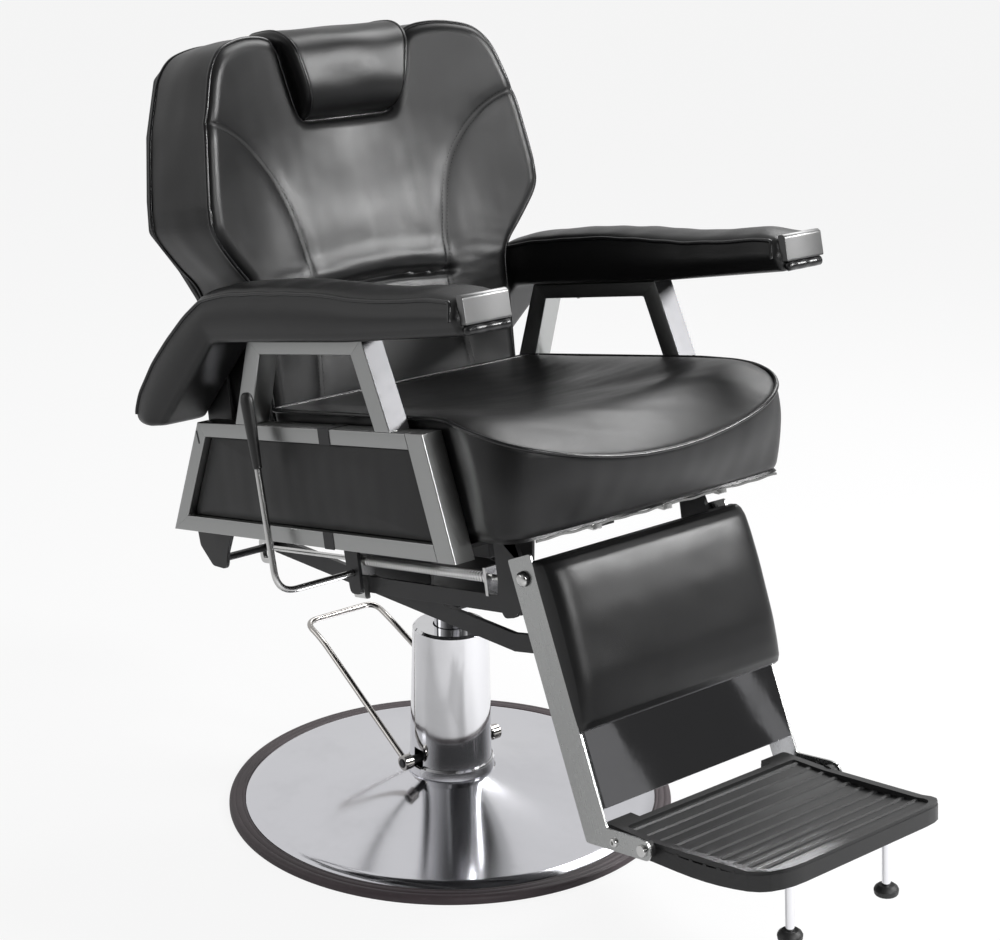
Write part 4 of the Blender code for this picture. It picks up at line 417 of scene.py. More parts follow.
@dataclass(frozen=True)
class Painted(Finish):
    """Enamel or powder paint on steel: fine orange peel, dust and rubbed spots."""

    peel: float = 420.0
    depth: float = 0.00008

    def pattern(self, nodes: NodeSet) -> Looks:
        """Orange peel in the normal, dust that lightens the colour."""
        here = nodes.place()
        peel = nodes.noise(here, self.peel, 2.0)
        dust = nodes.noise(here, 26.0, 5.0, 0.65).step(0.42, 0.82)
        chips = nodes.noise(here, 130.0, 2.0).step(0.70, 0.78)
        tone = (dust * 0.5 + chips * 0.4).clamp()
        return {"Base Color": nodes.mixed(tone, self.color, self.lighter(2.4)),
                "Roughness": self.roughness + 0.16 * dust - 0.1 * chips,
                "Normal": nodes.bump(peel, self.depth, 0.6)}


@dataclass(frozen=True)
class Moulded(Finish):
    """Moulded rubber or plastic: spark texture, cloudy tone and scuff streaks."""

    texture: float = 1500.0
    depth: float = 0.00012

    def pattern(self, nodes: NodeSet) -> Looks:
        """Fine stipple in the normal, clouds and scuffs in the tone."""
        here = nodes.place()
        stipple = nodes.noise(here, self.texture, 2.0, 0.7)
        cloud = nodes.noise(here, 22.0, 4.0, 0.6)
        streaks = nodes.place((26.0, 190.0, 190.0), (0.0, 0.0, 0.5))
        scuff = nodes.noise(streaks, 1.0, 3.0).step(0.60, 0.74)
        tone = (0.45 * cloud + 0.30 * scuff).clamp()
        return {"Base Color": nodes.mixed(tone, self.lighter(0.8), self.lighter(2.3)),
                "Roughness": self.roughness + 0.12 * (cloud - 0.5),
                "Normal": nodes.bump(stipple * 0.7 + cloud * 0.3, self.depth, 0.7)}


@dataclass(frozen=True)
class Cast(Finish):
    """Rough cast iron under a thin coat of paint."""

    def pattern(self, nodes: NodeSet) -> Looks:
        """Lumpy skin with darker hollows."""
        lumps = nodes.noise(nodes.place(), 240.0, 5.0, 0.7)
        return {"Base Color": nodes.mixed(lumps, self.lighter(0.6), self.lighter(1.5)),
                "Roughness": self.roughness + 0.3 * (lumps - 0.5),
                "Normal": nodes.bump(lumps, 0.0005, 0.8)}


BLACK_VINYL = Vinyl("black_vinyl", "black_vinyl", (0.0050, 0.0050, 0.0053), 0.35, specular=0.42)
BLACK_PIPING = Piping("black_piping", "black_vinyl", (0.007, 0.007, 0.0075), 0.24)
MIRROR = Plated("mirror_chrome", "mirror_chrome", (0.80, 0.80, 0.82), 0.06)
DOME_CHROME = Plated("dome_chrome", "mirror_chrome", (0.78, 0.78, 0.82), 0.10, ripple=0.00003)
PLATED_STEEL = Plated("plated_steel", "plated_steel", (0.68, 0.68, 0.67), 0.16, haze=0.10, ripple=0.0001)
DARK_PLATE = Plated("dark_plated_wire", "plated_steel", (0.50, 0.48, 0.46), 0.14, haze=0.08)
SPRING_STEEL = Plated("spring_steel", "plated_steel", (0.86, 0.86, 0.85), 0.10)
PANEL_MIRROR = Plated("kick_panel_mirror", "polished_panel", (0.56, 0.56, 0.58), 0.03, haze=0.03)
SATIN_RAIL = Brushed("satin_rail", "satin_chrome", (0.40, 0.405, 0.40), 0.29)
SATIN_UPRIGHT = Brushed("satin_upright", "satin_chrome", (0.46, 0.465, 0.46), 0.27, grain=Grain.UPRIGHT,
                        lean=math.radians(25.55))
# The plate and leg-face copies of the satin chrome are darker than the rails. This is painted shade that
# keeps the lamps from blowing them out.
SHADED_SATIN_PLATE = Brushed("shaded_satin_plate", "satin_chrome", (0.19, 0.19, 0.19), 0.36, grain=Grain.ACROSS_CHAIR)
SHADED_SATIN_LEG_FACE = Brushed("shaded_satin_leg_face", "satin_chrome", (0.085, 0.085, 0.088), 0.40,
                         grain=Grain.UPRIGHT, lean=math.radians(28.8))
BLACK_STEEL = Painted("black_steel", "black_steel", (0.013, 0.013, 0.014), 0.40)
BOARD_BLACK = Painted("black_board", "black_board", (0.015, 0.015, 0.016), 0.48, peel=900.0, depth=0.00012)
IRON = Cast("cast_iron", "cast_base", (0.10, 0.10, 0.11), 0.60, metallic=0.4)
RING_RUBBER = Moulded("ring_rubber", "floor_rubber", (0.046, 0.034, 0.038), 0.48, texture=700.0)
TRAY_RUBBER = Moulded("tray_rubber", "black_rubber", (0.0100, 0.0100, 0.0103), 0.50)
GRIP_PLASTIC = Moulded("grip_plastic", "black_plastic", (0.012, 0.012, 0.012), 0.38, texture=2200.0,
                       depth=0.00006)


# ---------------------------------------------------------------- surfaces
@dataclass
class Patch:
    """Points and four-cornered faces of a surface, with numbers carried by the points."""

    points: Array
    faces: Array
    marks: dict[str, Array] = field(default_factory=dict)

    def placed(self, at: TiltedFrame) -> "Patch":
        """The patch in world places, when its points are those of a frame."""
        return Patch(at.world(self.points), self.faces, self.marks)


def grid_patch(grid: Array, wrap: bool = False, **marks: Array) -> Patch:
    """Skin a grid of points.

    Args:
        grid: Rows by columns by 3.
        wrap: Join the last column to the first.
        marks: Numbers per point, rows by columns.

    Returns:
        The patch; repeated points are merged later, so a pole is a row of one point.
    """
    rows, columns = grid.shape[:2]
    i, j = np.meshgrid(np.arange(rows - 1), np.arange(columns if wrap else columns - 1), indexing="ij")
    n = (j + 1) % columns
    here, above = i * columns, (i + 1) * columns
    faces = np.stack([here + j, here + n, above + n, above + j], axis=-1)
    flat = {name: np.asarray(value, float).reshape(-1) for name, value in marks.items()}
    return Patch(grid.reshape(-1, 3), faces.reshape(-1, 4), flat)


def joined(patches: list[Patch]) -> Patch:
    """Put several patches in one mesh."""
    names = sorted({name for patch in patches for name in patch.marks})
    starts = np.cumsum([0] + [len(patch.points) for patch in patches[:-1]])
    points = np.concatenate([patch.points for patch in patches])
    faces = np.concatenate([patch.faces + start for patch, start in zip(patches, starts)])
    marks = {name: np.concatenate([patch.marks.get(name, np.zeros(len(patch.points))) for patch in patches])
             for name in names}
    return Patch(points, faces, marks)


def capped(rings: Array, **marks: Array) -> Patch:
    """Close a stack of rings with a pole at each end: rings is stations by points by 3."""
    middle = rings.mean(axis=1, keepdims=True)
    poles = np.broadcast_to(middle, rings.shape)
    full = np.concatenate([poles[:1], rings, poles[-1:]])
    kept = {name: np.concatenate([value[:1], value, value[-1:]]) for name, value in marks.items()}
    return grid_patch(full, wrap=True, **kept)


def turned(profile: list[Pair], sides: int = 128, ring: bool = False) -> Patch:
    """Turn an (r, z) profile round the Z axis: x = r cos a, y = r sin a.

    Args:
        profile: Radius and height pairs; a radius of zero is a pole.
        sides: Steps of the turn.
        ring: Join the profile's end to its start.

    Returns:
        The patch.
    """
    line = np.array(profile + profile[:1] if ring else profile, float)
    angle = np.linspace(0.0, 2.0 * np.pi, sides, endpoint=False)
    r, z = line[:, :1], np.repeat(line[:, 1:], sides, axis=1)
    return grid_patch(np.stack([r * np.cos(angle), r * np.sin(angle), z], axis=-1), wrap=True)


def along_x(patch: Patch, x: float, y: float, z: float, sign: float) -> Patch:
    """Lay a turned patch's axis along X, its height pointing to sign times X, at a place."""
    px, py, pz = patch.points.T
    return Patch(np.stack([x + sign * pz, y + px, z + py], axis=-1), patch.faces, patch.marks)


def block(outline: list[Pair], x_range: Pair, edge: float = 0.0006) -> Patch:
    """An outline in the seat frame's yz plane pushed along x, with small chamfers.

    Args:
        outline: Corners as (y, z).
        x_range: First and last place along x.
        edge: Size of the chamfers.

    Returns:
        A closed patch in world places.
    """
    corners = np.array(outline)
    loop = resampled(rounded(outline, edge * 1.5, 4, closed=True), 72, closed=True)
    middle = corners.mean(axis=0)
    size = np.linalg.norm(corners - middle, axis=1).max()
    x0, x1 = min(x_range), max(x_range)
    rings = []
    for x, less in ((x0, edge), (x0 + edge, 0.0), (x1 - edge, 0.0), (x1, edge)):
        rings.append(with_x(x, middle + (loop - middle) * (1.0 - less / size)))
    return capped(SEAT_FRAME.world(np.stack(rings)))


def box_of(y_range: Pair, z_range: Pair) -> list[Pair]:
    """The four corners of a box, from the lowest y and z round by the highest y."""
    (y0, y1), (z0, z1) = y_range, z_range
    return [(y0, z0), (y1, z0), (y1, z1), (y0, z1)]


def with_x(x: Array | float, yz: Array) -> Array:
    """Points from their (y, z) and an x that is spread over them."""
    return np.concatenate([np.broadcast_to(x, yz.shape[:-1])[..., None], yz], axis=-1)


def lengths(path: Array) -> Array:
    """Length along a path up to each of its points."""
    return np.concatenate([[0.0], np.cumsum(np.linalg.norm(np.diff(path, axis=0), axis=1))])


def mirrored(half: Array) -> Array:
    """A closed loop from its half, whose first and last point lie on the middle plane."""
    flip = np.ones(half.shape[1])
    flip[0] = -1.0
    return np.concatenate([half, half[-2:0:-1] * flip])


def resampled(line: Array, count: int, closed: bool = False) -> Array:
    """Points at even steps of length along a line.

    Args:
        line: Points by any number of coordinates.
        count: How many points to return.
        closed: Treat the line as a loop.

    Returns:
        The new points.
    """
    path = np.concatenate([line, line[:1]]) if closed else line
    length = lengths(path)
    wanted = np.linspace(0.0, length[-1], count + 1 if closed else count)
    wanted = wanted[:-1] if closed else wanted
    return np.stack([np.interp(wanted, length, path[:, k]) for k in range(path.shape[1])], axis=-1)


def eased(line: Array, reach: int, closed: bool = False) -> Array:
    """Round the corners of an evenly stepped line with a bell-shaped running mean."""
    kernel = np.exp(-np.linspace(-2.0, 2.0, 2 * reach + 1) ** 2)
    kernel /= kernel.sum()
    if closed:
        padded = np.concatenate([line[-reach:], line, line[:reach]])
    else:
        before = 2 * line[:1] - line[reach:0:-1]
        after = 2 * line[-1:] - line[-2:-reach - 2:-1]
        padded = np.concatenate([before, line, after])
    return np.stack([np.convolve(padded[:, k], kernel, "valid") for k in range(line.shape[1])], axis=-1)


def unit(vectors: Array) -> Array:
    """Vectors of length one."""
    return vectors / np.maximum(np.linalg.norm(vectors, axis=-1, keepdims=True), 1e-12)


def tangents(path: Array, closed: bool = False) -> Array:
    """Direction of a path at each of its points."""
    if closed:
        return unit(np.roll(path, -1, axis=0) - np.roll(path, 1, axis=0))
    return unit(np.gradient(path, axis=0))


def tube(path: Array, radius: float | Array, normal: Triple | Array, sides: int = 14, closed: bool = False,
         flat: float = 1.0) -> Patch:
    """Carry a round section along a path: centre + r cos a * side + r sin a * up.

    Args:
        path: Points by 3.
        radius: One radius, or one per point.
        normal: A direction, or one per point, that the path never runs along.
        sides: Points of the section.
        closed: The path is a loop.
        flat: Width of the section along the normal as a share of its radius.

    Returns:
        A closed patch.
    """
    forward = tangents(path, closed)
    side = unit(np.cross(forward, np.broadcast_to(np.asarray(normal, float), path.shape)))
    up = np.cross(side, forward)
    angle = np.linspace(0.0, 2.0 * np.pi, sides, endpoint=False)
    r = np.broadcast_to(np.asarray(radius, float), len(path))[:, None, None]
    section = np.cos(angle)[:, None] * side[:, None] + flat * np.sin(angle)[:, None] * up[:, None]
    rings = path[:, None] + r * section
    if closed:
        return grid_patch(np.concatenate([rings, rings[:1]]), wrap=True)
    return capped(rings)


def rounded(corners: list, radius: float, steps: int = 10, closed: bool = False) -> Array:
    """Round the corners of a line with parabolic arcs.

    Args:
        corners: Points of any dimension.
        radius: How far from a corner its arc starts.
        steps: Points of each arc, less one.
        closed: Treat the line as a loop.

    Returns:
        The rounded line.
    """
    points = np.array(corners, float)
    t = np.linspace(0.0, 1.0, steps + 1)[:, None]
    parts = [] if closed else [points[:1]]
    inner = range(len(points)) if closed else range(1, len(points) - 1)
    for k in inner:
        here, before, after = points[k], points[k - 1], points[(k + 1) % len(points)]
        back, on = before - here, after - here
        a = here + unit(back) * min(radius, 0.49 * np.linalg.norm(back))
        b = here + unit(on) * min(radius, 0.49 * np.linalg.norm(on))
        parts.append(a * (1 - t) ** 2 + here * 2 * t * (1 - t) + b * t ** 2)
    if not closed:
        parts.append(points[-1:])
    return np.concatenate(parts)


def bell(distance: Array | float, width: float) -> Array | float:
    """A bell of height 1, down to 1 / e at its width."""
    return np.exp(-(distance / width) ** 2)


def smooth(t: Array | float) -> Array | float:
    """Ease from 0 to 1: t * t * (3 - 2 t)."""
    t = np.clip(t, 0.0, 1.0)
    return t * t * (3.0 - 2.0 * t)


def distance_to(points: Array, line: Array) -> Array:
    """Shortest distance from each point to a line of straight stretches.

    Args:
        points: Any array whose last axis is a place.
        line: Points of the line, in order.

    Returns:
        One distance per point: the least over the stretches of the distance to the nearest place on each.
    """
    flat = points.reshape(-1, points.shape[-1])
    start, span = line[:-1], np.diff(line, axis=0)
    size = np.maximum((span ** 2).sum(axis=1), 1e-14)
    best = np.full(len(flat), np.inf)
    for part in np.array_split(np.arange(len(start)), max(1, len(start) // 60)):
        offset = flat[:, None] - start[part]
        t = np.clip((offset * span[part]).sum(axis=-1) / size[part], 0.0, 1.0)
        gap = np.linalg.norm(offset - t[..., None] * span[part], axis=-1)
        best = np.minimum(best, gap.min(axis=1))
    return best.reshape(points.shape[:-1])


def rumple(points: Array, size: float, seed: int, waves: int = 14) -> Array:
    """Smooth uneven height between about -1 and 1: a sum of plane waves with seeded directions and phases.

    Args:
        points: Any array whose last axis is x, y, z.
        size: Typical distance between two crests, in metres.
        seed: Picks the waves.
        waves: How many waves are summed.

    Returns:
        One number per point.
    """
    draw = np.random.default_rng(seed)
    directions = unit(draw.normal(size=(waves, 3)))
    pitch = 2.0 * np.pi / (size * draw.uniform(0.6, 1.8, waves))
    phase = draw.uniform(0.0, 2.0 * np.pi, waves)
    heights = np.sin(points @ (directions * pitch[:, None]).T + phase)
    return heights.sum(axis=-1) / math.sqrt(waves / 2.0) / 1.6


# ---------------------------------------------------------------- pieces
def put_object(name: str, data: bpy.types.ID) -> bpy.types.Object:
    """Make an object from a mesh, lamp or camera and link it to the scene."""
    made = bpy.data.objects.new(name, data)
    bpy.context.scene.collection.objects.link(made)
    return made


def put_mesh(name: str, patch: Patch, sharp: float) -> bpy.types.Object:
    """Make an object from a patch, with repeated points merged and faces pointing out.

    Args:
        name: The object's name.
        patch: Its surface.
        sharp: Degrees above which an edge stays sharp.

    Returns:
        The object, linked to the scene.
    """
    mesh = bpy.data.meshes.new(name)
    count = len(patch.faces)
    mesh.vertices.add(len(patch.points))
    mesh.vertices.foreach_set("co", patch.points.astype(np.float32).ravel())
    mesh.loops.add(count * 4)
    mesh.loops.foreach_set("vertex_index", patch.faces.astype(np.int32).ravel())
    mesh.polygons.add(count)
    mesh.polygons.foreach_set("loop_start", np.arange(count, dtype=np.int32) * 4)
    mesh.update(calc_edges=True)
    for mark, values in patch.marks.items():
        layer = mesh.attributes.new(mark, "FLOAT", "POINT")
        layer.data.foreach_set("value", values.astype(np.float32))
    work = bmesh.new()
    work.from_mesh(mesh)
    bmesh.ops.remove_doubles(work, verts=work.verts, dist=2e-6)
    bmesh.ops.recalc_face_normals(work, faces=work.faces)
    work.to_mesh(mesh)
    work.free()
    mesh.shade_smooth()
    mesh.set_sharp_from_angle(angle=math.radians(sharp))
    return put_object(name, mesh)


def piece(name: str, patches: Patch | list[Patch], body: Body, finish: Finish,
          stands_for: tuple[str, ...] = (), sharp: float = 42.0) -> bpy.types.Object:
    """Make one piece of the chair and let it ride on its body.

    Args:
        name: The piece's name.
        patches: Its surface, in world places.
        body: The body that carries it.
        finish: Its finish.
        stands_for: CAD nodes that it replaces.
        sharp: Degrees above which an edge stays sharp.

    Returns:
        The object.
    """
    patch = joined(patches) if isinstance(patches, list) else patches
    made = put_mesh(name, patch, sharp)
    made.data.materials.append(finish.material())
    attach(made, body.value)
    if stands_for:
        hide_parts(*stands_for)
    LOG.info("%s: %d points on %s", name, len(made.data.vertices), body.value)
    return made


def cushion(name: str, patch: Patch, body: Body, node: str, sharp: float = 60.0) -> None:
    """Make a padded vinyl piece.

    Args:
        name: The piece's name.
        patch: Its surface, in world places.
        body: The body that carries it.
        node: The CAD node that it replaces.
        sharp: Degrees above which an edge stays sharp.
    """
    piece(name, patch, body, BLACK_VINYL, (node,), sharp)


def piping(name: str, welts: Patch | list[Patch], body: Body) -> None:
    """Make thin vinyl parts, such as welts and stitches."""
    piece(name, welts, body, BLACK_PIPING, sharp=80.0)


def refined(node: str, body: Body, finish: Finish, edge: float = 0.0005, sharp: float = 32.0) -> None:
    """Replace a CAD node by a merged copy with broken edges and smooth curves.

    Args:
        node: The CAD node.
        body: The body that carries it.
        finish: Its finish.
        edge: Width of the broken edges.
        sharp: Degrees above which an edge counts as an edge.
    """
    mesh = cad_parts[node].data.copy()
    work = bmesh.new()
    work.from_mesh(mesh)
    bmesh.ops.remove_doubles(work, verts=work.verts, dist=1e-5)
    bmesh.ops.dissolve_limit(work, angle_limit=math.radians(0.6), verts=work.verts, edges=work.edges)
    work.to_mesh(mesh)
    work.free()
    mesh.materials.clear()
    mesh.shade_smooth()
    mesh.set_sharp_from_angle(angle=math.radians(sharp))
    made = put_object(node + "_shown", mesh)
    made.data.materials.append(finish.material())
    if edge > 0.0:
        bevel = made.modifiers.new("broken_edges", "BEVEL")
        bevel.width, bevel.segments, bevel.limit_method = edge, 2, "ANGLE"
        bevel.angle_limit = math.radians(sharp)
        bevel.harden_normals = True
    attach(made, body.value)
    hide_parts(node)


# ---------------------------------------------------------------- base and column
@dataclass
class PumpBase:
    """Rubber floor ring, plated dome, column and pump pedal."""

    radius: float = 0.350
    ring_width: float = 0.026
    dome_edge: float = 0.012
    dome_top: float = 0.056
    dome_shell: float = 0.0025
    dome_sweep: float = 2.1
    bore: float = 0.065
    neck: float = 0.0695
    pedal_axis: float = 0.085
    pedal_wire: float = 0.0048

    def dome_height(self, r: Array) -> Array:
        """Height of the dome's skin: a short roll at the rim, then a climb that steepens inwards."""
        rim = self.radius - self.ring_width
        t = np.clip((rim - r) / (rim - self.neck), 0.0, 1.0)
        roll = 1.0 - (1.0 - np.minimum(t * 14.0, 1.0)) ** 2
        climb = 0.42 * t + 0.58 * t ** self.dome_sweep
        return self.dome_edge + (self.dome_top - self.dome_edge) * (0.10 * roll + 0.90 * climb)

    def floor_ring(self) -> None:
        """A rubber ring with a rolled outer shoulder and two moulding lines."""
        rim, out = self.radius - self.ring_width, self.radius
        a = np.linspace(0.0, np.pi / 2, 8)
        foot = [(out - 0.003 + 0.003 * math.sin(v), 0.003 - 0.003 * math.cos(v)) for v in a]
        shoulder = [(out - 0.006 + 0.006 * math.cos(v), 0.007 + 0.006 * math.sin(v)) for v in a]
        lines = [(out - 0.010, 0.0130), (out - 0.0106, 0.0125), (out - 0.0112, 0.0130), (rim + 0.006, 0.0130),
                 (rim + 0.0055, 0.0126), (rim + 0.005, 0.0130), (rim + 0.002, 0.0130), (rim, 0.011)]
        profile = [(rim, 0.0)] + foot + shoulder + lines
        piece("floor_ring", turned(profile, 180, ring=True), Body.BASE, RING_RUBBER,
              ("base_rubber_ring",), sharp=60.0)

    def dome(self) -> None:
        """The plated cover: one sheet turned round the column, closed by its own thickness."""
        rim = self.radius - self.ring_width - 0.0003
        r = np.concatenate([np.linspace(rim, rim - 0.020, 18), np.linspace(rim - 0.023, self.neck, 56)])
        top = list(zip(r, self.dome_height(r)))
        neck_top = float(self.dome_height(np.array(self.neck)))
        inner = [(self.bore, neck_top), (self.bore, neck_top - self.dome_shell)]
        under = [(a, h - self.dome_shell) for a, h in reversed(top)]
        sheet = turned(top + inner + under, 192, ring=True)
        piece("dome", sheet, Body.BASE, DOME_CHROME, ("base_dome_cover",), sharp=35.0)

    def pedal(self) -> None:
        """The pedal loop: one bent wire with a turned hub at each end."""
        hub_x, hub_length, bend, tip = 0.088, 0.016, (0.070, 0.250, 0.206), (0.070, 0.294, 0.221)
        start = np.array([hub_x, 0.0, self.pedal_axis])
        start = start + unit(np.array(bend) - start) * 0.0095
        half = [start, np.array(bend), np.array(tip)]
        corners = half + [p * (-1.0, 1.0, 1.0) for p in reversed(half)]
        wire = tube(rounded(corners, 0.022, 12), self.pedal_wire, (0.0, -0.44, 0.90), 18)
        hub = [(0.0074, 0.0), (0.0108, 0.0), (0.012, 0.0012), (0.012, hub_length - 0.0012),
               (0.0108, hub_length), (0.0074, hub_length)]
        ring = turned(hub, 40, ring=True)
        hubs = [along_x(ring, side.value * (hub_x - hub_length / 2), 0.0, self.pedal_axis, side.value)
                for side in Side]
        piece("pedal_loop", [wire, *hubs], Body.PEDAL, DARK_PLATE, ("pedal_wire",))

    def build(self) -> None:
        """Build the base, the column, the lift and the pedal."""
        self.floor_ring()
        self.dome()
        self.pedal()
        refined("column_shroud", Body.BASE, MIRROR, 0.0006)
        refined("column_collar", Body.BASE, MIRROR, 0.0006)
        refined("pedal_shaft", Body.PEDAL, BLACK_STEEL)
        refined("piston", Body.LIFT, MIRROR, 0.0)
        refined("swivel_head", Body.LIFT, BLACK_STEEL)


# ---------------------------------------------------------------- side frames
def crossing(a: Array, b: Array, c: Array, d: Array) -> Array:
    """Where the line through a and b meets the line through c and d, in a plane."""
    along, other = b - a, d - c
    turn = along[0] * other[1] - along[1] * other[0]
    t = ((c - a)[0] * other[1] - (c - a)[1] * other[0]) / turn
    return a + along * t


def moved_in(outline: Array, widths: list[float]) -> list[tuple[Array, Array]]:
    """Each edge of an outline, moved inwards by its own width, as two points."""
    centre = outline.mean(axis=0)
    edges = []
    for k, width in enumerate(widths):
        a, b = outline[k], outline[(k + 1) % len(outline)]
        normal = unit(np.array([-(b - a)[1], (b - a)[0]]))
        normal = normal if normal @ (centre - a) > 0 else -normal
        edges.append((a + normal * width, b + normal * width))
    return edges


@dataclass
class Rail:
    """One straight tube of a side frame, between two slanted end cuts."""

    start: tuple[Array, Array]
    end: tuple[Array, Array]
    width: float
    x_range: Pair
    corner: float = 0.0016
    weld: float = 0.00012

    def section(self) -> tuple[Array, Array, Array]:
        """Points round the tube: x, share of the width and length round the tube."""
        a = np.linspace(0.0, np.pi / 2, 5)
        x0, x1 = self.x_range
        c = self.corner
        turns = [(x1 - c, self.width - c, 0), (x0 + c, self.width - c, 1), (x0 + c, c, 2), (x1 - c, c, 3)]
        x = np.concatenate([cx + c * np.cos(a + k * np.pi / 2) for cx, _, k in turns])
        w = np.concatenate([cw + c * np.sin(a + k * np.pi / 2) for _, cw, k in turns])
        loop = np.stack([x, w], axis=-1)
        return x, w / self.width, lengths(loop)

    def patch(self, side: Side) -> Patch:
        """The tube as a closed patch in world places: straight lines between the two end cuts."""
        x, share, round_it = self.section()
        (a_out, a_in), (b_out, b_in) = self.start, self.end
        a = a_out + (a_in - a_out) * share[:, None]
        b = b_out + (b_in - b_out) * share[:, None]
        run = unit(b - a) * self.weld
        t = np.array([0.0, 0.0006, 0.02, 0.35, 0.65, 0.98, 0.9994, 1.0])[:, None, None]
        yz = (a + run) * (1.0 - t) + (b - run) * t
        draw_in = np.array([0.9985, 1.0, 1.0, 1.0, 1.0, 1.0, 1.0, 0.9985])[:, None]
        middle = sum(self.x_range) / 2.0
        px = (middle + (x - middle) * draw_in) * side.value
        grid = SEAT_FRAME.world(with_x(px, yz))
        along = t[..., 0] * np.linalg.norm(b - a, axis=1).mean() + np.zeros(len(x))
        return capped(grid, along=along, across=np.broadcast_to(round_it, along.shape))


@dataclass
class SideFrames:
    """The two satin side frames with their arm frames and upholstered panels."""

    outline: tuple[Pair, ...] = ((0.337, 0.0), (-0.380, 0.0), (-0.343, 0.173), (0.223, 0.173))
    rail_widths: tuple[float, ...] = (0.024, 0.038, 0.022, 0.026)
    x_range: Pair = (0.256, 0.290)
    arm_outer: tuple[Pair, ...] = ((-0.272, 0.1733), (-0.2335, 0.300), (0.050, 0.300), (0.1145, 0.1733))
    arm_inner: tuple[Pair, ...] = ((-0.237, 0.1733), (-0.2045, 0.278), (0.0235, 0.278), (0.0735, 0.1733))

    def lower_rails(self) -> list[Rail]:
        """Bottom, front, top and rear rail; the front rail runs through, the rear corners are mitred."""
        o = [np.array(p) for p in self.outline]
        edges = moved_in(np.array(self.outline), list(self.rail_widths))
        bottom, front, top, rear = edges
        rear_low = (o[0], crossing(*rear, *bottom))
        rear_high = (o[3], crossing(*top, *rear))
        bottom_end = (crossing(o[0], o[1], *front), crossing(*bottom, *front))
        top_end = (crossing(o[2], o[3], *front), crossing(*top, *front))
        front_low = (o[1], crossing(*front, o[0], o[1]))
        front_high = (o[2], crossing(*front, o[2], o[3]))
        ends = ((rear_low, bottom_end), (front_low, front_high), (top_end, rear_high), (rear_high, rear_low))
        return [Rail(start, end, width, self.x_range) for (start, end), width in zip(ends, self.rail_widths)]

    def arm_rails(self) -> list[Rail]:
        """Front leg, bar and rear leg of an arm frame, mitred at the heads."""
        cuts = [(np.array(a), np.array(b)) for a, b in zip(self.arm_outer, self.arm_inner)]
        widths = (0.033, 0.022, 0.035)
        return [Rail(a, b, width, self.x_range) for a, b, width in zip(cuts, cuts[1:], widths)]

    def panel(self, side: Side) -> None:
        """A padded panel: the opening's outline, drawn in and crowned towards its middle."""
        edges = moved_in(np.array(self.outline), [w + 0.0006 for w in self.rail_widths])
        corners = [crossing(*edges[k - 1], *edges[k]) for k in range(4)]
        loop = resampled(rounded(corners, 0.006, 8, closed=True), 220, closed=True)
        centre = loop.mean(axis=0)
        base, edge, crown = 0.2632, 0.2785, 0.0045
        corner, turn, share = 0.003, np.linspace(0.1, 1.0, 7), np.linspace(0.965, 0.04, 30)
        f = np.concatenate([[1.0, 1.0, 1.0], 1.0 - 0.02 * turn ** 2, share])
        x = np.concatenate([[base, base + 0.006, edge - corner],
                            edge - corner + corner * np.sin(turn * np.pi / 2),
                            edge + crown * (1.0 - share ** 4)])
        yz = centre + (loop - centre) * f[:, None, None]
        grid = with_x(x[:, None], yz)
        lift = 0.0005 * rumple(grid, 0.06, 21) * (1.0 - f[:, None] ** 6) * (x[:, None] > edge - 0.001)
        grid[..., 0] = (grid[..., 0] + lift) * side.value
        cushion(f"side_cushion_{side.word}", capped(SEAT_FRAME.world(grid)), Body.SEAT,
                f"side_panel_{side.word}", sharp=42.0)

    def build(self) -> None:
        """Build both sides."""
        for side in Side:
            for name, rails, node in (("side_rails", self.lower_rails(), "side_frame"),
                                      ("arm_rails", self.arm_rails(), "arm_frame")):
                piece(f"{name}_{side.word}", [rail.patch(side) for rail in rails], Body.SEAT, SATIN_RAIL,
                      (f"{node}_{side.word}",), sharp=30.0)
            self.panel(side)


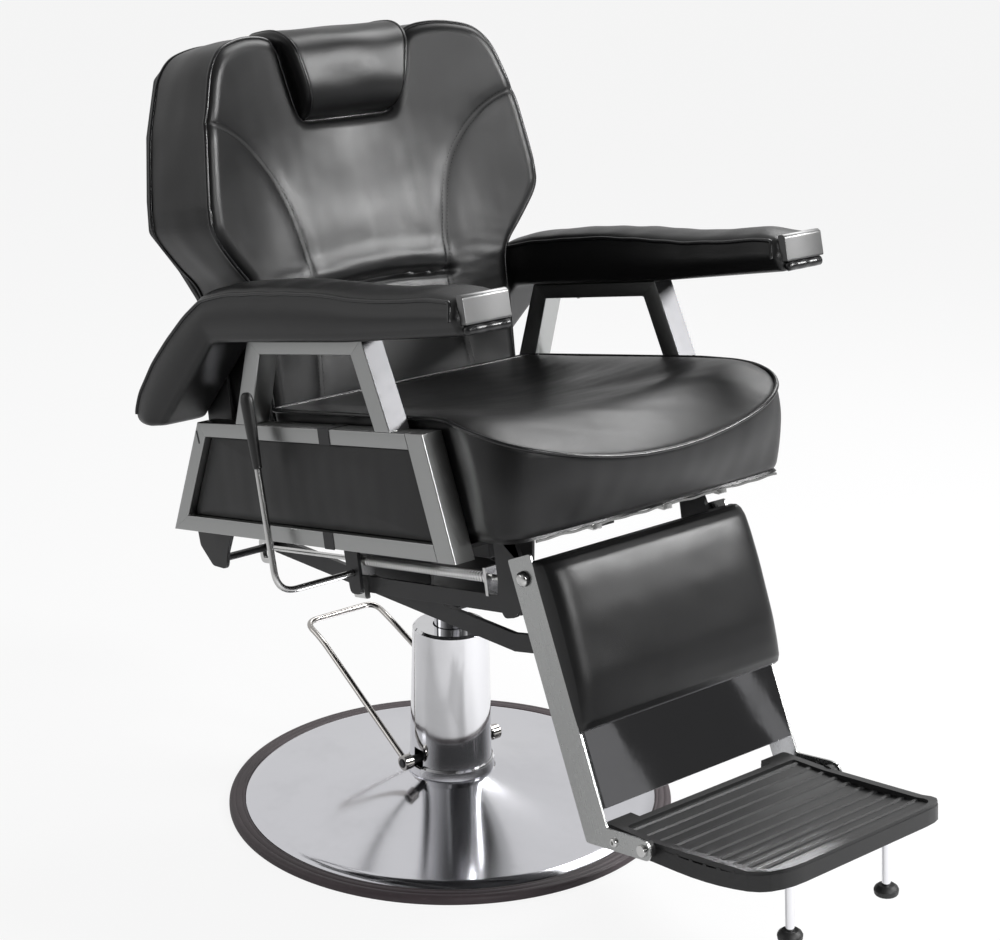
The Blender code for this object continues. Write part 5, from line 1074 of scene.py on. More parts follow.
# ---------------------------------------------------------------- upholstery
@dataclass
class SeatCushion:
    """Deep seat cushion with a round-cornered, dropping front, a dished top and a piped top edge."""

    top_half: tuple[Triple, ...] = ((0.0, 0.078, 0.188), (0.243, 0.078, 0.188), (0.250, 0.071, 0.188),
                                    (0.250, -0.320, 0.186), (0.252, -0.352, 0.184), (0.262, -0.384, 0.180),
                                    (0.266, -0.415, 0.174), (0.261, -0.446, 0.165), (0.251, -0.466, 0.157),
                                    (0.235, -0.483, 0.149), (0.212, -0.497, 0.141), (0.184, -0.506, 0.132),
                                    (0.147, -0.511, 0.123), (0.104, -0.513, 0.115), (0.055, -0.515, 0.109),
                                    (0.0, -0.516, 0.107))
    foot_half: tuple[Triple, ...] = ((0.0, 0.075, 0.024), (0.240, 0.075, 0.024), (0.246, 0.069, 0.024),
                                     (0.247, -0.330, 0.024), (0.251, -0.380, 0.024), (0.255, -0.410, 0.024),
                                     (0.255, -0.436, 0.024), (0.249, -0.452, 0.024), (0.234, -0.463, 0.024),
                                     (0.180, -0.466, 0.024), (0.0, -0.467, 0.024))
    centre: Triple = (0.0, -0.200, 0.0)
    dish_height: float = 0.150
    puff: float = 0.020
    crest: float = 0.012
    front_bulge: float = 0.0075
    side_hollow: float = 0.003
    foot_tuck: float = 0.005
    top_tuck: float = 0.0015
    saddle_depth: float = 0.008
    valley_depth: float = 0.0030
    steps: int = 320
    piping: float = 0.0032
    clip_width: float = 0.016
    clips_x: Triple = (-0.118, 0.012, 0.118)

    def rim(self, half: tuple[Triple, ...], reach: int) -> Array:
        """Even closed loop from one half of a symmetric edge, with eased corners."""
        loop = mirrored(np.array(half))
        even = eased(resampled(loop, self.steps * 4, closed=True), reach, closed=True)
        return resampled(even, self.steps, closed=True)

    def rims(self) -> tuple[Array, Array]:
        """Foot and top edge of the side walls, matched by their angle round the middle."""
        top, foot = self.rim(self.top_half, 14), self.rim(self.foot_half, 10)
        turn = np.unwrap([math.atan2(y - self.centre[1], x) for x, y, _ in top])
        other = np.unwrap([math.atan2(y - self.centre[1], x) for x, y, _ in foot])
        order = np.argsort(other)
        cycle = 2.0 * np.pi
        wrapped = (turn - other.min()) % cycle + other.min()
        spot = np.concatenate([other[order] - cycle, other[order], other[order] + cycle])
        matched = [np.interp(wrapped, spot, np.tile(foot[order, k], 3)) for k in range(3)]
        return np.stack(matched, axis=-1), top

    def surface(self) -> Patch:
        """Underside, side walls and crowned, dished top as one closed stack of rings."""
        foot, top = self.rims()
        middle = np.array(self.centre)
        under = np.stack([middle + (foot - middle) * (f, f, 1.0) for f in (0.3, 0.7, 0.93, 0.975)])
        t = np.linspace(0.0, 1.0, 34)[1:-1, None, None]
        wall = foot + (top - foot) * t
        outward = unit((top - middle) * (1.0, 1.0, 0.0))
        free = smooth((-0.372 - wall[..., 1:2]) / 0.05)
        bulge = self.front_bulge * np.sin(np.pi * t ** 1.2) * free
        bulge = bulge - self.side_hollow * np.sin(np.pi * t) * (1.0 - free)
        wall = wall + outward * bulge
        wall = wall - outward * bell(t, 0.05) * self.foot_tuck
        wall = wall - outward * bell(1.0 - t, 0.03) * self.top_tuck
        f = np.concatenate([1.0 - 0.03 * np.linspace(0.0, 1.0, 10) ** 1.5, np.linspace(0.962, 0.02, 76)])
        f = f[:, None, None]
        ring = middle + (top - middle) * (1.0, 1.0, 0.0) * f
        height = self.dish_height + (top[:, 2] - self.dish_height) * f[..., 0] ** 2.6
        height = height + self.puff * (1.0 - f[..., 0] ** 8)
        nose = bell(ring[..., 1] + 0.405, 0.060) * (1.0 - f[..., 0] ** 6)
        saddle = -self.saddle_depth * bell(ring[..., 1] + 0.10, 0.13) * bell(ring[..., 0], 0.13)
        valley = self.valley_depth * bell(1.0 - f[..., 0], 0.010)
        ring[..., 2] = height + self.crest * nose + saddle - valley
        inside = 1.0 - f[..., 0] ** 12
        ring[..., 2] += (0.0010 * rumple(ring, 0.16, 5) + 0.00030 * rumple(ring, 0.045, 6)) * inside
        gather = bell(1.0 - f[..., 0], 0.05) * inside
        ring[..., 2] += 0.0006 * rumple(ring, 0.012, 41) * gather
        wall[..., 0:2] += outward[..., 0:2] * (0.0006 * rumple(wall, 0.06, 7))[..., None]
        rings = np.concatenate([under, foot[None], wall, ring])
        # Darker tone round the rim's valley under the piping: painted shade.
        seam = np.zeros(rings.shape[:2])
        seam[-len(ring):] = bell(1.0 - f[..., 0], 0.012)
        # Lighter, glossier patch in the middle of the seat.
        worn = np.zeros(rings.shape[:2])
        worn[-len(ring):] = 0.5 * bell(ring[..., 1] + 0.22, 0.16) * bell(ring[..., 0], 0.16)
        return capped(SEAT_FRAME.world(rings), seam=seam, worn=worn)

    def build(self) -> None:
        """Build the cushion, its piping and the strip that closes its underside in front."""
        cushion("seat_pad", self.surface(), Body.SEAT, "seat_cushion")
        _, top = self.rims()
        outward = unit((top - np.array(self.centre)) * (1.0, 1.0, 0.0))
        line = top + outward * 0.0008
        welt = tube(SEAT_FRAME.world(line), self.piping, (0.0, 0.2, 1.0), 12, closed=True)
        piping("seat_piping", welt, Body.SEAT)
        x = np.linspace(-0.215, 0.238, 120)
        wave = 0.0006 * np.sin(x * 61.0) + 0.0005 * np.sin(x * 143.0 + 1.0)
        strip = [SEAT_FRAME.world(np.stack([x, np.full_like(x, y), z + wave], axis=-1))
                 for y, z in ((-0.4595, 0.0225), (-0.4615, 0.0222), (-0.4615, 0.0192), (-0.4595, 0.0190))]
        edge = grid_patch(np.stack(strip, axis=1), wrap=True)
        clips = [block([(-0.4635, 0.0235), (-0.4635, 0.0150), (-0.4500, 0.0165), (-0.4500, 0.0235)],
                       (x0, x0 + self.clip_width)) for x0 in self.clips_x]
        piece("seat_front_strip", [edge, *clips], Body.SEAT, PLATED_STEEL)


@dataclass
class ArmPad:
    """Long padded arm that turns down behind the elbow, piped along both top edges."""

    inner_x: float = 0.247
    outer_x: float = 0.330
    bar: float = 0.3003
    nose: Pair = (-0.500, -0.506)
    nose_lift: float = 0.0080
    lift_start: float = -0.240
    edge: tuple[Pair, ...] = ((-0.500, 0.3560), (-0.449, 0.3590), (-0.380, 0.3580), (-0.306, 0.3592),
                              (-0.230, 0.3665), (-0.155, 0.3722), (-0.070, 0.3738), (0.013, 0.3735),
                              (0.062, 0.3710), (0.101, 0.3660))
    crown: float = 0.011
    heel: tuple[Pair, ...] = ((0.101, 0.366), (0.152, 0.342), (0.212, 0.308), (0.268, 0.268), (0.318, 0.224),
                              (0.340, 0.190))
    crook: Pair = (0.0905, 0.3003)
    tip: tuple[Pair, ...] = ((0.256, 0.178), (0.262, 0.172), (0.330, 0.172))
    corner: float = 0.011
    end_ease: float = 0.010
    side_bulge: float = 0.0050
    piping: float = 0.0030
    edge_columns: tuple[int, int] = (10, 31)
    low_columns: tuple[int, int] = (2, 39)

    def stations(self) -> tuple[Array, Array, Array]:
        """Low point, high point and crown of even sections from the nose to the tip."""
        crook = np.array(self.crook)
        line = eased(resampled(np.array(self.edge), 240), 14)
        rows = []
        for t in np.linspace(0.0, 0.97, 60):
            low_y = self.nose[1] + (crook[0] - self.nose[1]) * t
            lift = self.nose_lift * max(0.0, (self.lift_start - low_y) / (self.lift_start - self.nose[1]))
            high_y = self.nose[0] + (self.heel[0][0] - self.nose[0]) * t
            high_z = float(np.interp(high_y, line[:, 0], line[:, 1]))
            rows.append([low_y, self.bar + lift, high_y, high_z, self.crown * min(1.0, t / 0.08)])
        count = len(self.heel)
        for k, high in enumerate(self.heel):
            low = crook + (np.array(self.tip[0]) - crook) * (k / (count - 1))
            rows.append([*low, *high, self.crown * (1.0 - k / count)])
        rows.append([*self.tip[1], *self.tip[2], 0.0])
        even = eased(resampled(np.array(rows), 300), 7)
        return even[:, 0:2], even[:, 2:4], even[:, 4]

    def sections(self, side: Side) -> tuple[Array, Array]:
        """Crowned box sections on all stations, drawn in at both ends, and which points get painted shade
        along the piped top edges.
        """
        low, high, crown = self.stations()
        span = high - low
        height = np.linalg.norm(span, axis=1, keepdims=True)
        up = span / height
        centre = (low + high) / 2
        run = lengths(centre)
        near_end = np.minimum(run, run[-1] - run)
        ease = self.end_ease
        inset = ease - np.sqrt(np.maximum(ease ** 2 - np.maximum(ease - near_end, 0.0) ** 2, 0.0))
        inset = inset[:, None] * 0.8
        half = (self.outer_x - self.inner_x) / 2 - inset
        r = self.corner
        a = np.linspace(0.0, np.pi / 2, 6)
        flat = np.linspace(-1.0, 1.0, 16)[1:-1]
        rise = np.linspace(0.0, 1.0, 10)[1:-1]
        one, zero = np.ones, np.zeros
        sx = np.concatenate([one(8), one(6), -flat, -one(6), -one(8), -one(6), flat, one(6)])
        cx = np.concatenate([one(8), np.cos(a), zero(14), -np.sin(a),
                             -one(8), -np.cos(a), zero(14), np.sin(a)])
        sv = np.concatenate([rise, one(6), one(14), one(6), rise[::-1], zero(6), zero(14), zero(6)])
        cv = np.concatenate([zero(8), np.sin(a), one(14), np.cos(a),
                             zero(8), -np.sin(a), -one(14), -np.cos(a)])
        x = sx * (half - r) + cx * r
        tall = height - 2 * inset
        v = inset + r + sv * (tall - 2 * r) + cv * r
        v = v + crown[:, None] * (1.0 - (x / half) ** 2) * (sv > 0.99) * (cv > 0.0)
        bulge = self.side_bulge * np.sin(np.pi * sv) * (np.abs(sx) > 0.99) * (np.abs(cx) > 0.99)
        x = x + np.sign(sx) * bulge
        yz = low[:, None] + up[:, None] * v[..., None]
        grid = with_x((self.inner_x + self.outer_x) / 2 + x, yz)
        grid[..., 1:] += up[:, None] * (0.0007 * rumple(grid, 0.07, 31) * (sv > 0.5))[..., None]
        grid[..., 0] *= side.value
        # The two piped top edges get a darker tone: painted shade along the piping.
        top_corner = np.zeros(len(sx))
        top_corner[list(self.edge_columns)] = 1.0
        seam = np.broadcast_to(top_corner, x.shape)
        return grid, seam

    def end_plate(self, side: Side) -> None:
        """Bright plate on the upper part of the nose and the dark roll under it."""
        inner, outer = self.inner_x + 0.0045, self.outer_x - 0.0045
        outline = [(-0.4995, 0.3600), (-0.5085, 0.3605), (-0.5125, 0.3570), (-0.5140, 0.3225),
                   (-0.5030, 0.3225), (-0.5000, 0.3540)]
        # The plate's satin chrome is darkened: painted shade against the lamps' glare.
        plate = block(outline, (side.value * inner, side.value * outer), 0.0009)
        piece(f"arm_plate_{side.word}", plate, Body.SEAT, SHADED_SATIN_PLATE,
              (f"arm_end_plate_{side.word}",))
        x = np.linspace(inner + 0.001, outer - 0.001, 40)
        sag = 0.0006 * np.sin(x * 260.0)
        path = np.stack([x * side.value, -0.5085 + sag, np.full_like(x, 0.3155)], axis=-1)
        size = 0.0070 * np.minimum(1.0, 0.45 + np.minimum(x - x[0], x[-1] - x) / 0.006)
        roll = tube(SEAT_FRAME.world(path), size, (0.0, 1.0, 0.0), 24)
        piece(f"arm_nose_{side.word}", roll, Body.SEAT, BLACK_PIPING, sharp=70.0)

    def build(self) -> None:
        """Build both arm pads and their piping."""
        for side in Side:
            grid, seam = self.sections(side)
            cushion(f"arm_cushion_{side.word}", capped(SEAT_FRAME.world(grid), seam=seam), Body.SEAT,
                    f"arm_pad_{side.word}")
            welts = []
            for edge_column, low_column, sign in zip(self.edge_columns, self.low_columns, (1.0, -1.0)):
                edge = grid[4:-6, edge_column].copy()
                low_front = grid[4, low_column].copy()
                nose = np.linspace(low_front, edge[0], 10)[:-1]
                path = eased(resampled(np.concatenate([nose, edge]), 240), 2)
                path[:, 0] += sign * side.value * 0.0004
                welts.append(tube(SEAT_FRAME.world(path), self.piping, (side.value, 0.0, 0.02), 10))
            piping(f"arm_piping_{side.word}", welts, Body.SEAT)
            self.end_plate(side)


@dataclass
class BackRest:
    """Winged back with a piped front panel, curved seams, a lumbar fold and a notch for the headrest."""

    front_edge: float = 0.062
    dish_top: float = 0.078
    dish_low: float = 0.044
    foot_ease: float = 0.014
    foot_dish: float = 0.016
    rear: float = 0.246
    low_half: float = 0.232
    wing_half: float = 0.309
    bottom: float = 0.150
    top: float = 0.731
    notch_bottom: float = 0.600
    notch_half_low: float = 0.0935
    notch_half_top: float = 0.122
    fold_height: float = 0.352
    fold_depth: float = 0.012
    fold_width: float = 0.0060
    upper_roll: float = 0.005
    lower_roll: float = 0.003
    swell: float = 0.010
    column_count: int = 370
    row_count: int = 180
    edge_reach: float = 0.018
    edge_depth: float = 0.013
    piping: float = 0.0034
    stitch_offset: float = 0.0042
    seam: tuple[Pair, ...] = ((0.286, 0.613), (0.262, 0.608), (0.235, 0.594), (0.202, 0.566),
                               (0.168, 0.5235), (0.1475, 0.474), (0.135, 0.418), (0.128, 0.3745),
                               (0.128, 0.335), (0.133, 0.290), (0.150, 0.165))

    def upper(self) -> Array:
        """Half of the top edge, from the middle to the tip, as (x, z)."""
        low, high, top = self.notch_half_low, self.notch_half_top, self.top
        return np.array([(0.0, self.notch_bottom), (low - 0.018, self.notch_bottom),
                         (low - 0.006, self.notch_bottom + 0.005), (low + 0.001, self.notch_bottom + 0.022),
                         (high - 0.006, top - 0.024), (high + 0.006, top - 0.007), (high + 0.028, top),
                         (0.190, top - 0.001), (0.238, top - 0.013), (0.262, top - 0.042), (0.289, 0.606),
                         (0.304, 0.510), (self.wing_half, 0.465)])

    def lower(self) -> Array:
        """Half of the bottom edge, from the middle to the tip, as (x, z)."""
        half, low = self.low_half, self.bottom
        return np.array([(0.0, low), (half - 0.010, low), (half, low + 0.010), (half + 0.003, 0.350),
                         (half + 0.013, 0.380), (0.262, 0.396), (0.298, 0.444), (self.wing_half, 0.465)])

    def columns(self) -> tuple[Array, Array, Array]:
        """Places across the back with the bottom and top edge at each: both edges with eased corners."""
        upper, lower = self.upper(), self.lower()
        loop = mirrored(np.concatenate([upper, lower[-2::-1]]))
        even = resampled(loop, 2400, closed=True)
        soft, tight = eased(even, 40, closed=True), eased(even, 6, closed=True)
        notch = smooth((np.abs(even[:, 0]) - 0.135) / 0.02)[:, None]
        loop = tight + (soft - tight) * notch
        low_part = loop[:, 1] < np.interp(np.abs(loop[:, 0]), (0.0, self.wing_half), (0.40, 0.465))
        top, foot = loop[~low_part], loop[low_part]
        top, foot = top[np.argsort(top[:, 0])], foot[np.argsort(foot[:, 0])]
        tips = [(top[k] + foot[k]) / 2 for k in (0, -1)]
        top = np.concatenate([tips[:1], top, tips[1:]])
        foot = np.concatenate([tips[:1], foot, tips[1:]])
        x = np.sort(np.concatenate([top[:, 0], foot[:, 0]]))
        x = x[np.concatenate([[True], np.diff(x) > 1e-5])]
        high = np.interp(x, top[:, 0], top[:, 1])
        low = np.interp(x, foot[:, 0], foot[:, 1])
        middle = (low[[0, -1]] + high[[0, -1]]) / 2
        low[[0, -1]] = high[[0, -1]] = middle
        run = np.hypot(np.hypot(np.diff(x), np.diff(high)), np.diff(low))
        run = np.concatenate([[0.0], np.cumsum(run)])
        spots = np.linspace(0.0, run[-1], self.column_count)
        return tuple(np.interp(spots, run, values) for values in (x, low, high))

    def face(self, x: Array, z: Array) -> Array:
        """Depth of the front: wings forward, middle dished, a fold across the small of the back."""
        side = np.minimum(np.abs(x) / self.wing_half, 1.0)
        rise = smooth((z - self.bottom) / 0.15)
        dish = self.dish_low + (self.dish_top - self.dish_low) * smooth((z - 0.30) / 0.30)
        dish = self.foot_dish + (dish - self.foot_dish) * rise
        depth = self.front_edge + self.foot_ease * (1.0 - rise) + dish * (1.0 - side ** 1.6)
        across = smooth((0.150 - np.abs(x)) / 0.03)
        gap = z - self.fold_height - 0.004 * np.cos(x * 22.0) + 0.004
        fold = self.fold_depth * bell(gap, self.fold_width) * across
        roll = -self.upper_roll * bell(gap - 0.026, 0.018) * across
        lower_roll = -self.lower_roll * bell(gap + 0.030, 0.020) * across
        swell = -self.swell * bell(z - 0.465, 0.085) * (1.0 - smooth((np.abs(x) - 0.02) / 0.20))
        return depth + fold + roll + lower_roll + swell

    def seam_line(self) -> Array:
        """One seam as an even line with eased corners."""
        return eased(resampled(np.array(self.seam), 160), 11)

    def groove(self, gap: Array | float) -> Array | float:
        """Depth that a seam pulls the front in, at a distance from the seam."""
        return 0.0018 * bell(gap, 0.0030) + 0.0022 * bell(gap, 0.014)

    def surface(self) -> tuple[Patch, Array]:
        """Front panel, boxing and flat rear; and the rim that the front piping follows."""
        x, low, high = self.columns()
        s = np.linspace(0.0, 1.0, self.row_count)[:, None]
        v = 0.72 * s + 0.28 * (0.5 - 0.5 * np.cos(np.pi * s))
        px = np.broadcast_to(x, (len(s), len(x)))
        level = self.bottom + (self.top - self.bottom) * v
        pz = 0.94 * np.clip(level, low, high) + 0.06 * (low + (high - low) * v)
        pz[0], pz[-1] = low, high
        flat = np.stack([px, pz], axis=-1)
        rim = np.concatenate([flat[0], flat[-1, ::-1]])
        outline = np.concatenate([rim, rim[:1]])
        inside = distance_to(flat, outline[::2])
        inside[[0, -1]] = 0.0
        rest = np.maximum(self.edge_reach - inside, 0.0) / self.edge_reach
        edge = self.edge_depth * (1.0 - np.sqrt(np.maximum(1.0 - rest ** 2, 0.0)))
        seam = self.seam_line()
        gap = np.minimum(distance_to(flat, seam), distance_to(flat, seam * (-1.0, 1.0)))
        depth = self.face(px, pz) + edge + self.groove(gap)
        grid = np.stack([px, depth, pz], axis=-1)
        centre = smooth(inside / 0.03)
        pulls = 0.0004 * rumple(grid, 0.14, 3) + 0.00016 * rumple(grid * (1.0, 1.0, 0.7), 0.040, 4)
        crest = bell(pz - self.fold_height, 0.04)
        creases = 0.00040 * rumple(grid * (0.5, 1.0, 1.6), 0.030, 9) * crest
        grid[..., 1] += (pulls + creases) * centre
        lip = np.concatenate([grid[0], grid[-1, ::-1]])
        ahead = np.roll(lip, -1, axis=0) - np.roll(lip, 1, axis=0)
        inward = unit(np.stack([-ahead[:, 2], np.zeros(len(lip)), ahead[:, 0]], axis=-1))
        walls = []
        for share in np.linspace(0.0, 1.0, 26)[1:]:
            loop = lip.copy()
            loop[:, 1] += (self.rear - loop[:, 1]) * share
            sag = -0.0040 * math.sin(math.pi * share) + 0.0022 * bell(share, 0.03)
            sag += 0.0020 * bell(1.0 - share, 0.04)
            walls.append(loop + inward * sag)
        walls = np.stack([lip, *walls])
        walls[1:-1] += inward * (0.0006 * rumple(walls[1:-1], 0.07, 8))[..., None]
        half = len(x)
        rear = np.stack([walls[-1, :half], walls[-1, half:][::-1]])
        # Darker tone along the seams and round the border: painted shade.
        mark = bell(gap, 0.0035) + bell(inside, 0.006)
        # Lighter, glossier patch in the back's middle, where the lamps' glow falls: painted highlight.
        worn = 0.7 * bell(px - 0.02, 0.12) * bell(pz - 0.47, 0.10)
        front = grid_patch(grid, seam=np.clip(mark, 0.0, 1.0), worn=worn)
        return joined([front, grid_patch(walls, wrap=True), grid_patch(rear)]), lip

    def stitches(self) -> None:
        """Two rows of short thread stitches beside each seam."""
        even = resampled(self.seam_line(), 86)
        forward = tangents(even)
        across = np.stack([-forward[:, 1], forward[:, 0]], axis=-1)
        patches = []
        for sign in (1.0, -1.0):
            for offset in (self.stitch_offset, -self.stitch_offset):
                places = even + across * offset
                y = self.face(np.abs(places[:, 0]), places[:, 1]) + self.groove(offset) - 0.0002
                centres = np.stack([places[:, 0], y, places[:, 1]], axis=-1)
                reach = tangents(centres) * 0.0016
                for centre, step in zip(centres[1:-1], reach[1:-1]):
                    path = np.stack([centre - step, centre, centre + step]) * (sign, 1.0, 1.0)
                    path[1, 1] -= 0.0002
                    patches.append(tube(SEAT_FRAME.world(path), np.array([0.0002, 0.00042, 0.0002]),
                                        (0.0, 1.0, 0.2), 6))
        piping("back_stitches", patches, Body.BACK)

    def build(self) -> None:
        """Build the back, its two runs of piping and the pieces of its frame."""
        patch, lip = self.surface()
        cushion("back_pad", patch.placed(SEAT_FRAME), Body.BACK, "back_cushion")
        loop = lip[np.concatenate([[True], np.linalg.norm(np.diff(lip, axis=0), axis=1) > 1e-5])]
        even = eased(resampled(loop, 900, closed=True), 3, closed=True)
        ahead = tangents(even, closed=True)
        outward = unit(np.stack([ahead[:, 2], np.zeros(len(even)), -ahead[:, 0]], axis=-1))
        front = even + outward * 0.0008 - (0.0, 0.0006, 0.0)
        rear = even.copy()
        rear[:, 1] = self.rear - 0.0045
        for name, path in (("back_piping", front), ("back_rear_piping", rear - outward * 0.0004)):
            welt = tube(SEAT_FRAME.world(path), self.piping, (0.0, 1.0, 0.2), 12, closed=True)
            piping(name, welt, Body.BACK)
        self.stitches()
        refined("back_board", Body.BACK, BOARD_BLACK, 0.0)
        for side in Side:
            refined(f"back_arm_{side.word}", Body.BACK, BLACK_STEEL)
        refined("crank_rod", Body.BACK, BLACK_STEEL)


@dataclass
class Headrest:
    """Rounded roll between the back's horns, piped at both ends, on a flat post."""

    front: float = 0.0955
    rear: float = 0.2237
    top: float = 0.742
    bottom: float = 0.6006
    centre: Pair = (0.178, 0.672)
    half_low: float = 0.0872
    half_top: float = 0.1190
    back_top: float = 0.731
    end_steps: int = 9
    piping: float = 0.0022

    def section(self, count: int) -> Array:
        """A soft rounded box: full in front, flat at the rear."""
        angle = np.linspace(0.0, 2.0 * np.pi, count, endpoint=False) + np.pi / count
        c, s = np.cos(angle), np.sin(angle)
        power = np.where(c < 0.0, 2.0 / 2.6, 2.0 / 6.0)
        reach = np.where(c < 0.0, self.centre[0] - self.front, self.rear - self.centre[0])
        rise = np.where(s > 0.0, self.top - self.centre[1], self.centre[1] - self.bottom)
        y = self.centre[0] + reach * np.sign(c) * np.abs(c) ** power
        z = self.centre[1] + rise * np.sign(s) * np.abs(s) ** (2.0 / 3.0)
        return np.stack([y, z], axis=-1)

    def build(self) -> None:
        """Build the roll and its end piping, and dress the post and its guide."""
        section = resampled(self.section(400), 110, closed=True)
        draw = 0.10 * np.linspace(0.0, 1.0, self.end_steps) ** 1.6
        across = np.concatenate([draw - 1.0, np.linspace(-0.88, 0.88, 60), 1.0 - draw[::-1]])
        beyond = np.abs(across) - 0.90
        rest = np.clip(beyond / 0.10, 0.0, 1.0)
        valley = 0.012 * bell(beyond, 0.012)
        scale = 1.0 - 0.17 * (1.0 - np.sqrt(1.0 - 0.98 * rest ** 2)) - valley
        anchor = np.array([self.rear, self.centre[1]])
        yz = anchor + (section - anchor) * scale[:, None, None]
        t = (yz[..., 1] - self.bottom) / (self.back_top - self.bottom)
        half = self.half_low + (self.half_top - self.half_low) * np.clip(t, 0.0, 1.1)
        grid = np.stack([across[:, None] * half, yz[..., 0], yz[..., 1]], axis=-1)
        soft = 0.0008 * rumple(grid * (0.6, 1.0, 1.0), 0.05, 12) * (1.0 - rest[:, None])
        out = unit(grid[..., 1:] - np.array(self.centre))
        grid[..., 1:] += out * soft[..., None] * (grid[..., 1:2] < self.rear - 0.01)
        # Darker tone at both ends, in the valleys by the piping: painted shade.
        seam = np.broadcast_to(bell(beyond, 0.02)[:, None], grid.shape[:2])
        cushion("headrest_roll", capped(SEAT_FRAME.world(grid), seam=seam), Body.HEADREST,
                "headrest_pad")
        welts = []
        for index in (self.end_steps - 1, len(across) - self.end_steps):
            loop = grid[index].copy()
            loop[:, 1:] += unit(loop[:, 1:] - np.array(self.centre)) * 0.0003
            welts.append(tube(SEAT_FRAME.world(loop), self.piping, (1.0, 0.0, 0.1), 10, closed=True))
        piping("headrest_piping", welts, Body.HEADREST)
        refined("headrest_post", Body.HEADREST, MIRROR)
        refined("headrest_guide", Body.BACK, BLACK_STEEL)


# ---------------------------------------------------------------- linkage
@dataclass
class Linkage:
    """Lock rod, wound spring, hand lever and links under the seat's right side."""

    axis_z: float = -0.05485
    lock_x: float = -0.158
    spring_start: float = 0.0137
    spring_length: float = 0.296
    turns: int = 48
    coil_radius: float = 0.0070
    wire: float = 0.0014
    lever_x: float = -0.312
    lever_axis: Pair = (0.028, -0.071)
    lever_top: Pair = (0.038, 0.226)
    lever_rod: float = 0.005
    grip_length: float = 0.112
    grip_radius: float = 0.0115

    def spring(self) -> None:
        """A close-wound spring: a helix round the rod's axis, with ends laid flat."""
        count = self.turns * 18
        t = np.linspace(0.0, 1.0, count + 1)
        ease = t + 0.012 * np.sin(2.0 * np.pi * t) / (2.0 * np.pi)
        angle = 2.0 * np.pi * self.turns * t
        room = self.spring_length - 2.0 * self.wire
        path = np.stack([self.lock_x + self.coil_radius * np.sin(angle),
                         self.spring_start - self.wire - room * ease,
                         self.axis_z + self.coil_radius * np.cos(angle)], axis=-1)
        coil = tube(SEAT_FRAME.world(path), self.wire, (0.0, 1.0, -0.2), 8)
        piece("lock_coil", coil, Body.SEAT, SPRING_STEEL, ("lock_spring",), 80.0)

    def lever(self) -> None:
        """The bent lever rod and its tapered grip."""
        y, z = self.lever_axis
        top, corner = np.array([self.lever_x, *self.lever_top]), np.array([self.lever_x, y, z])
        down = unit(corner - top)
        grip_foot = top + down * self.grip_length
        rod = rounded([(-0.1706, y, z), tuple(corner), tuple(grip_foot)], 0.034, 14)
        rod = tube(SEAT_FRAME.world(rod), self.lever_rod, (0.0, 1.0, -0.2), 20)
        piece("lever_bar", rod, Body.LEVER, PLATED_STEEL, ("lever_rod",))
        t = np.array([0.0, 0.004, 0.02, 0.05, 0.12, 0.25, 0.45, 0.6, 0.8, 0.93, 0.965, 0.98, 0.99, 1.0])
        size = np.array([0.30, 0.46, 0.68, 0.86, 1.0, 0.985, 0.92, 0.84, 0.74, 0.68, 0.66, 0.70, 0.68, 0.58])
        spots = np.interp(np.linspace(0, 1, 60), np.linspace(0, 1, len(t)), t)
        radius = np.interp(spots, t, size) * self.grip_radius
        path = top + (grip_foot - top) * spots[:, None]
        grip = tube(SEAT_FRAME.world(path), radius, (1.0, 0.0, 0.0), 28, flat=0.78)
        piece("lever_handle", grip, Body.LEVER, GRIP_PLASTIC, ("lever_grip",), 60.0)

    def build(self) -> None:
        """Build the lock, the lever and the links."""
        self.spring()
        self.lever()
        for node in ("lock_yoke", "lock_front_plate"):
            refined(node, Body.SEAT, PLATED_STEEL, 0.0006)
        for node in ("lock_bar", "lever_bracket", "seat_mount_bracket", "front_cross_tube", "rear_cross_tube",
                     "back_pivot_left", "back_pivot_right", "leg_bracket_left", "leg_bracket_right"):
            refined(node, Body.SEAT, BLACK_STEEL)
        refined("seat_pan", Body.SEAT, BOARD_BLACK)
        refined("lock_rod", Body.LOCK_ROD, PLATED_STEEL)
        refined("drag_link", Body.DRAG_LINK, BLACK_STEEL)


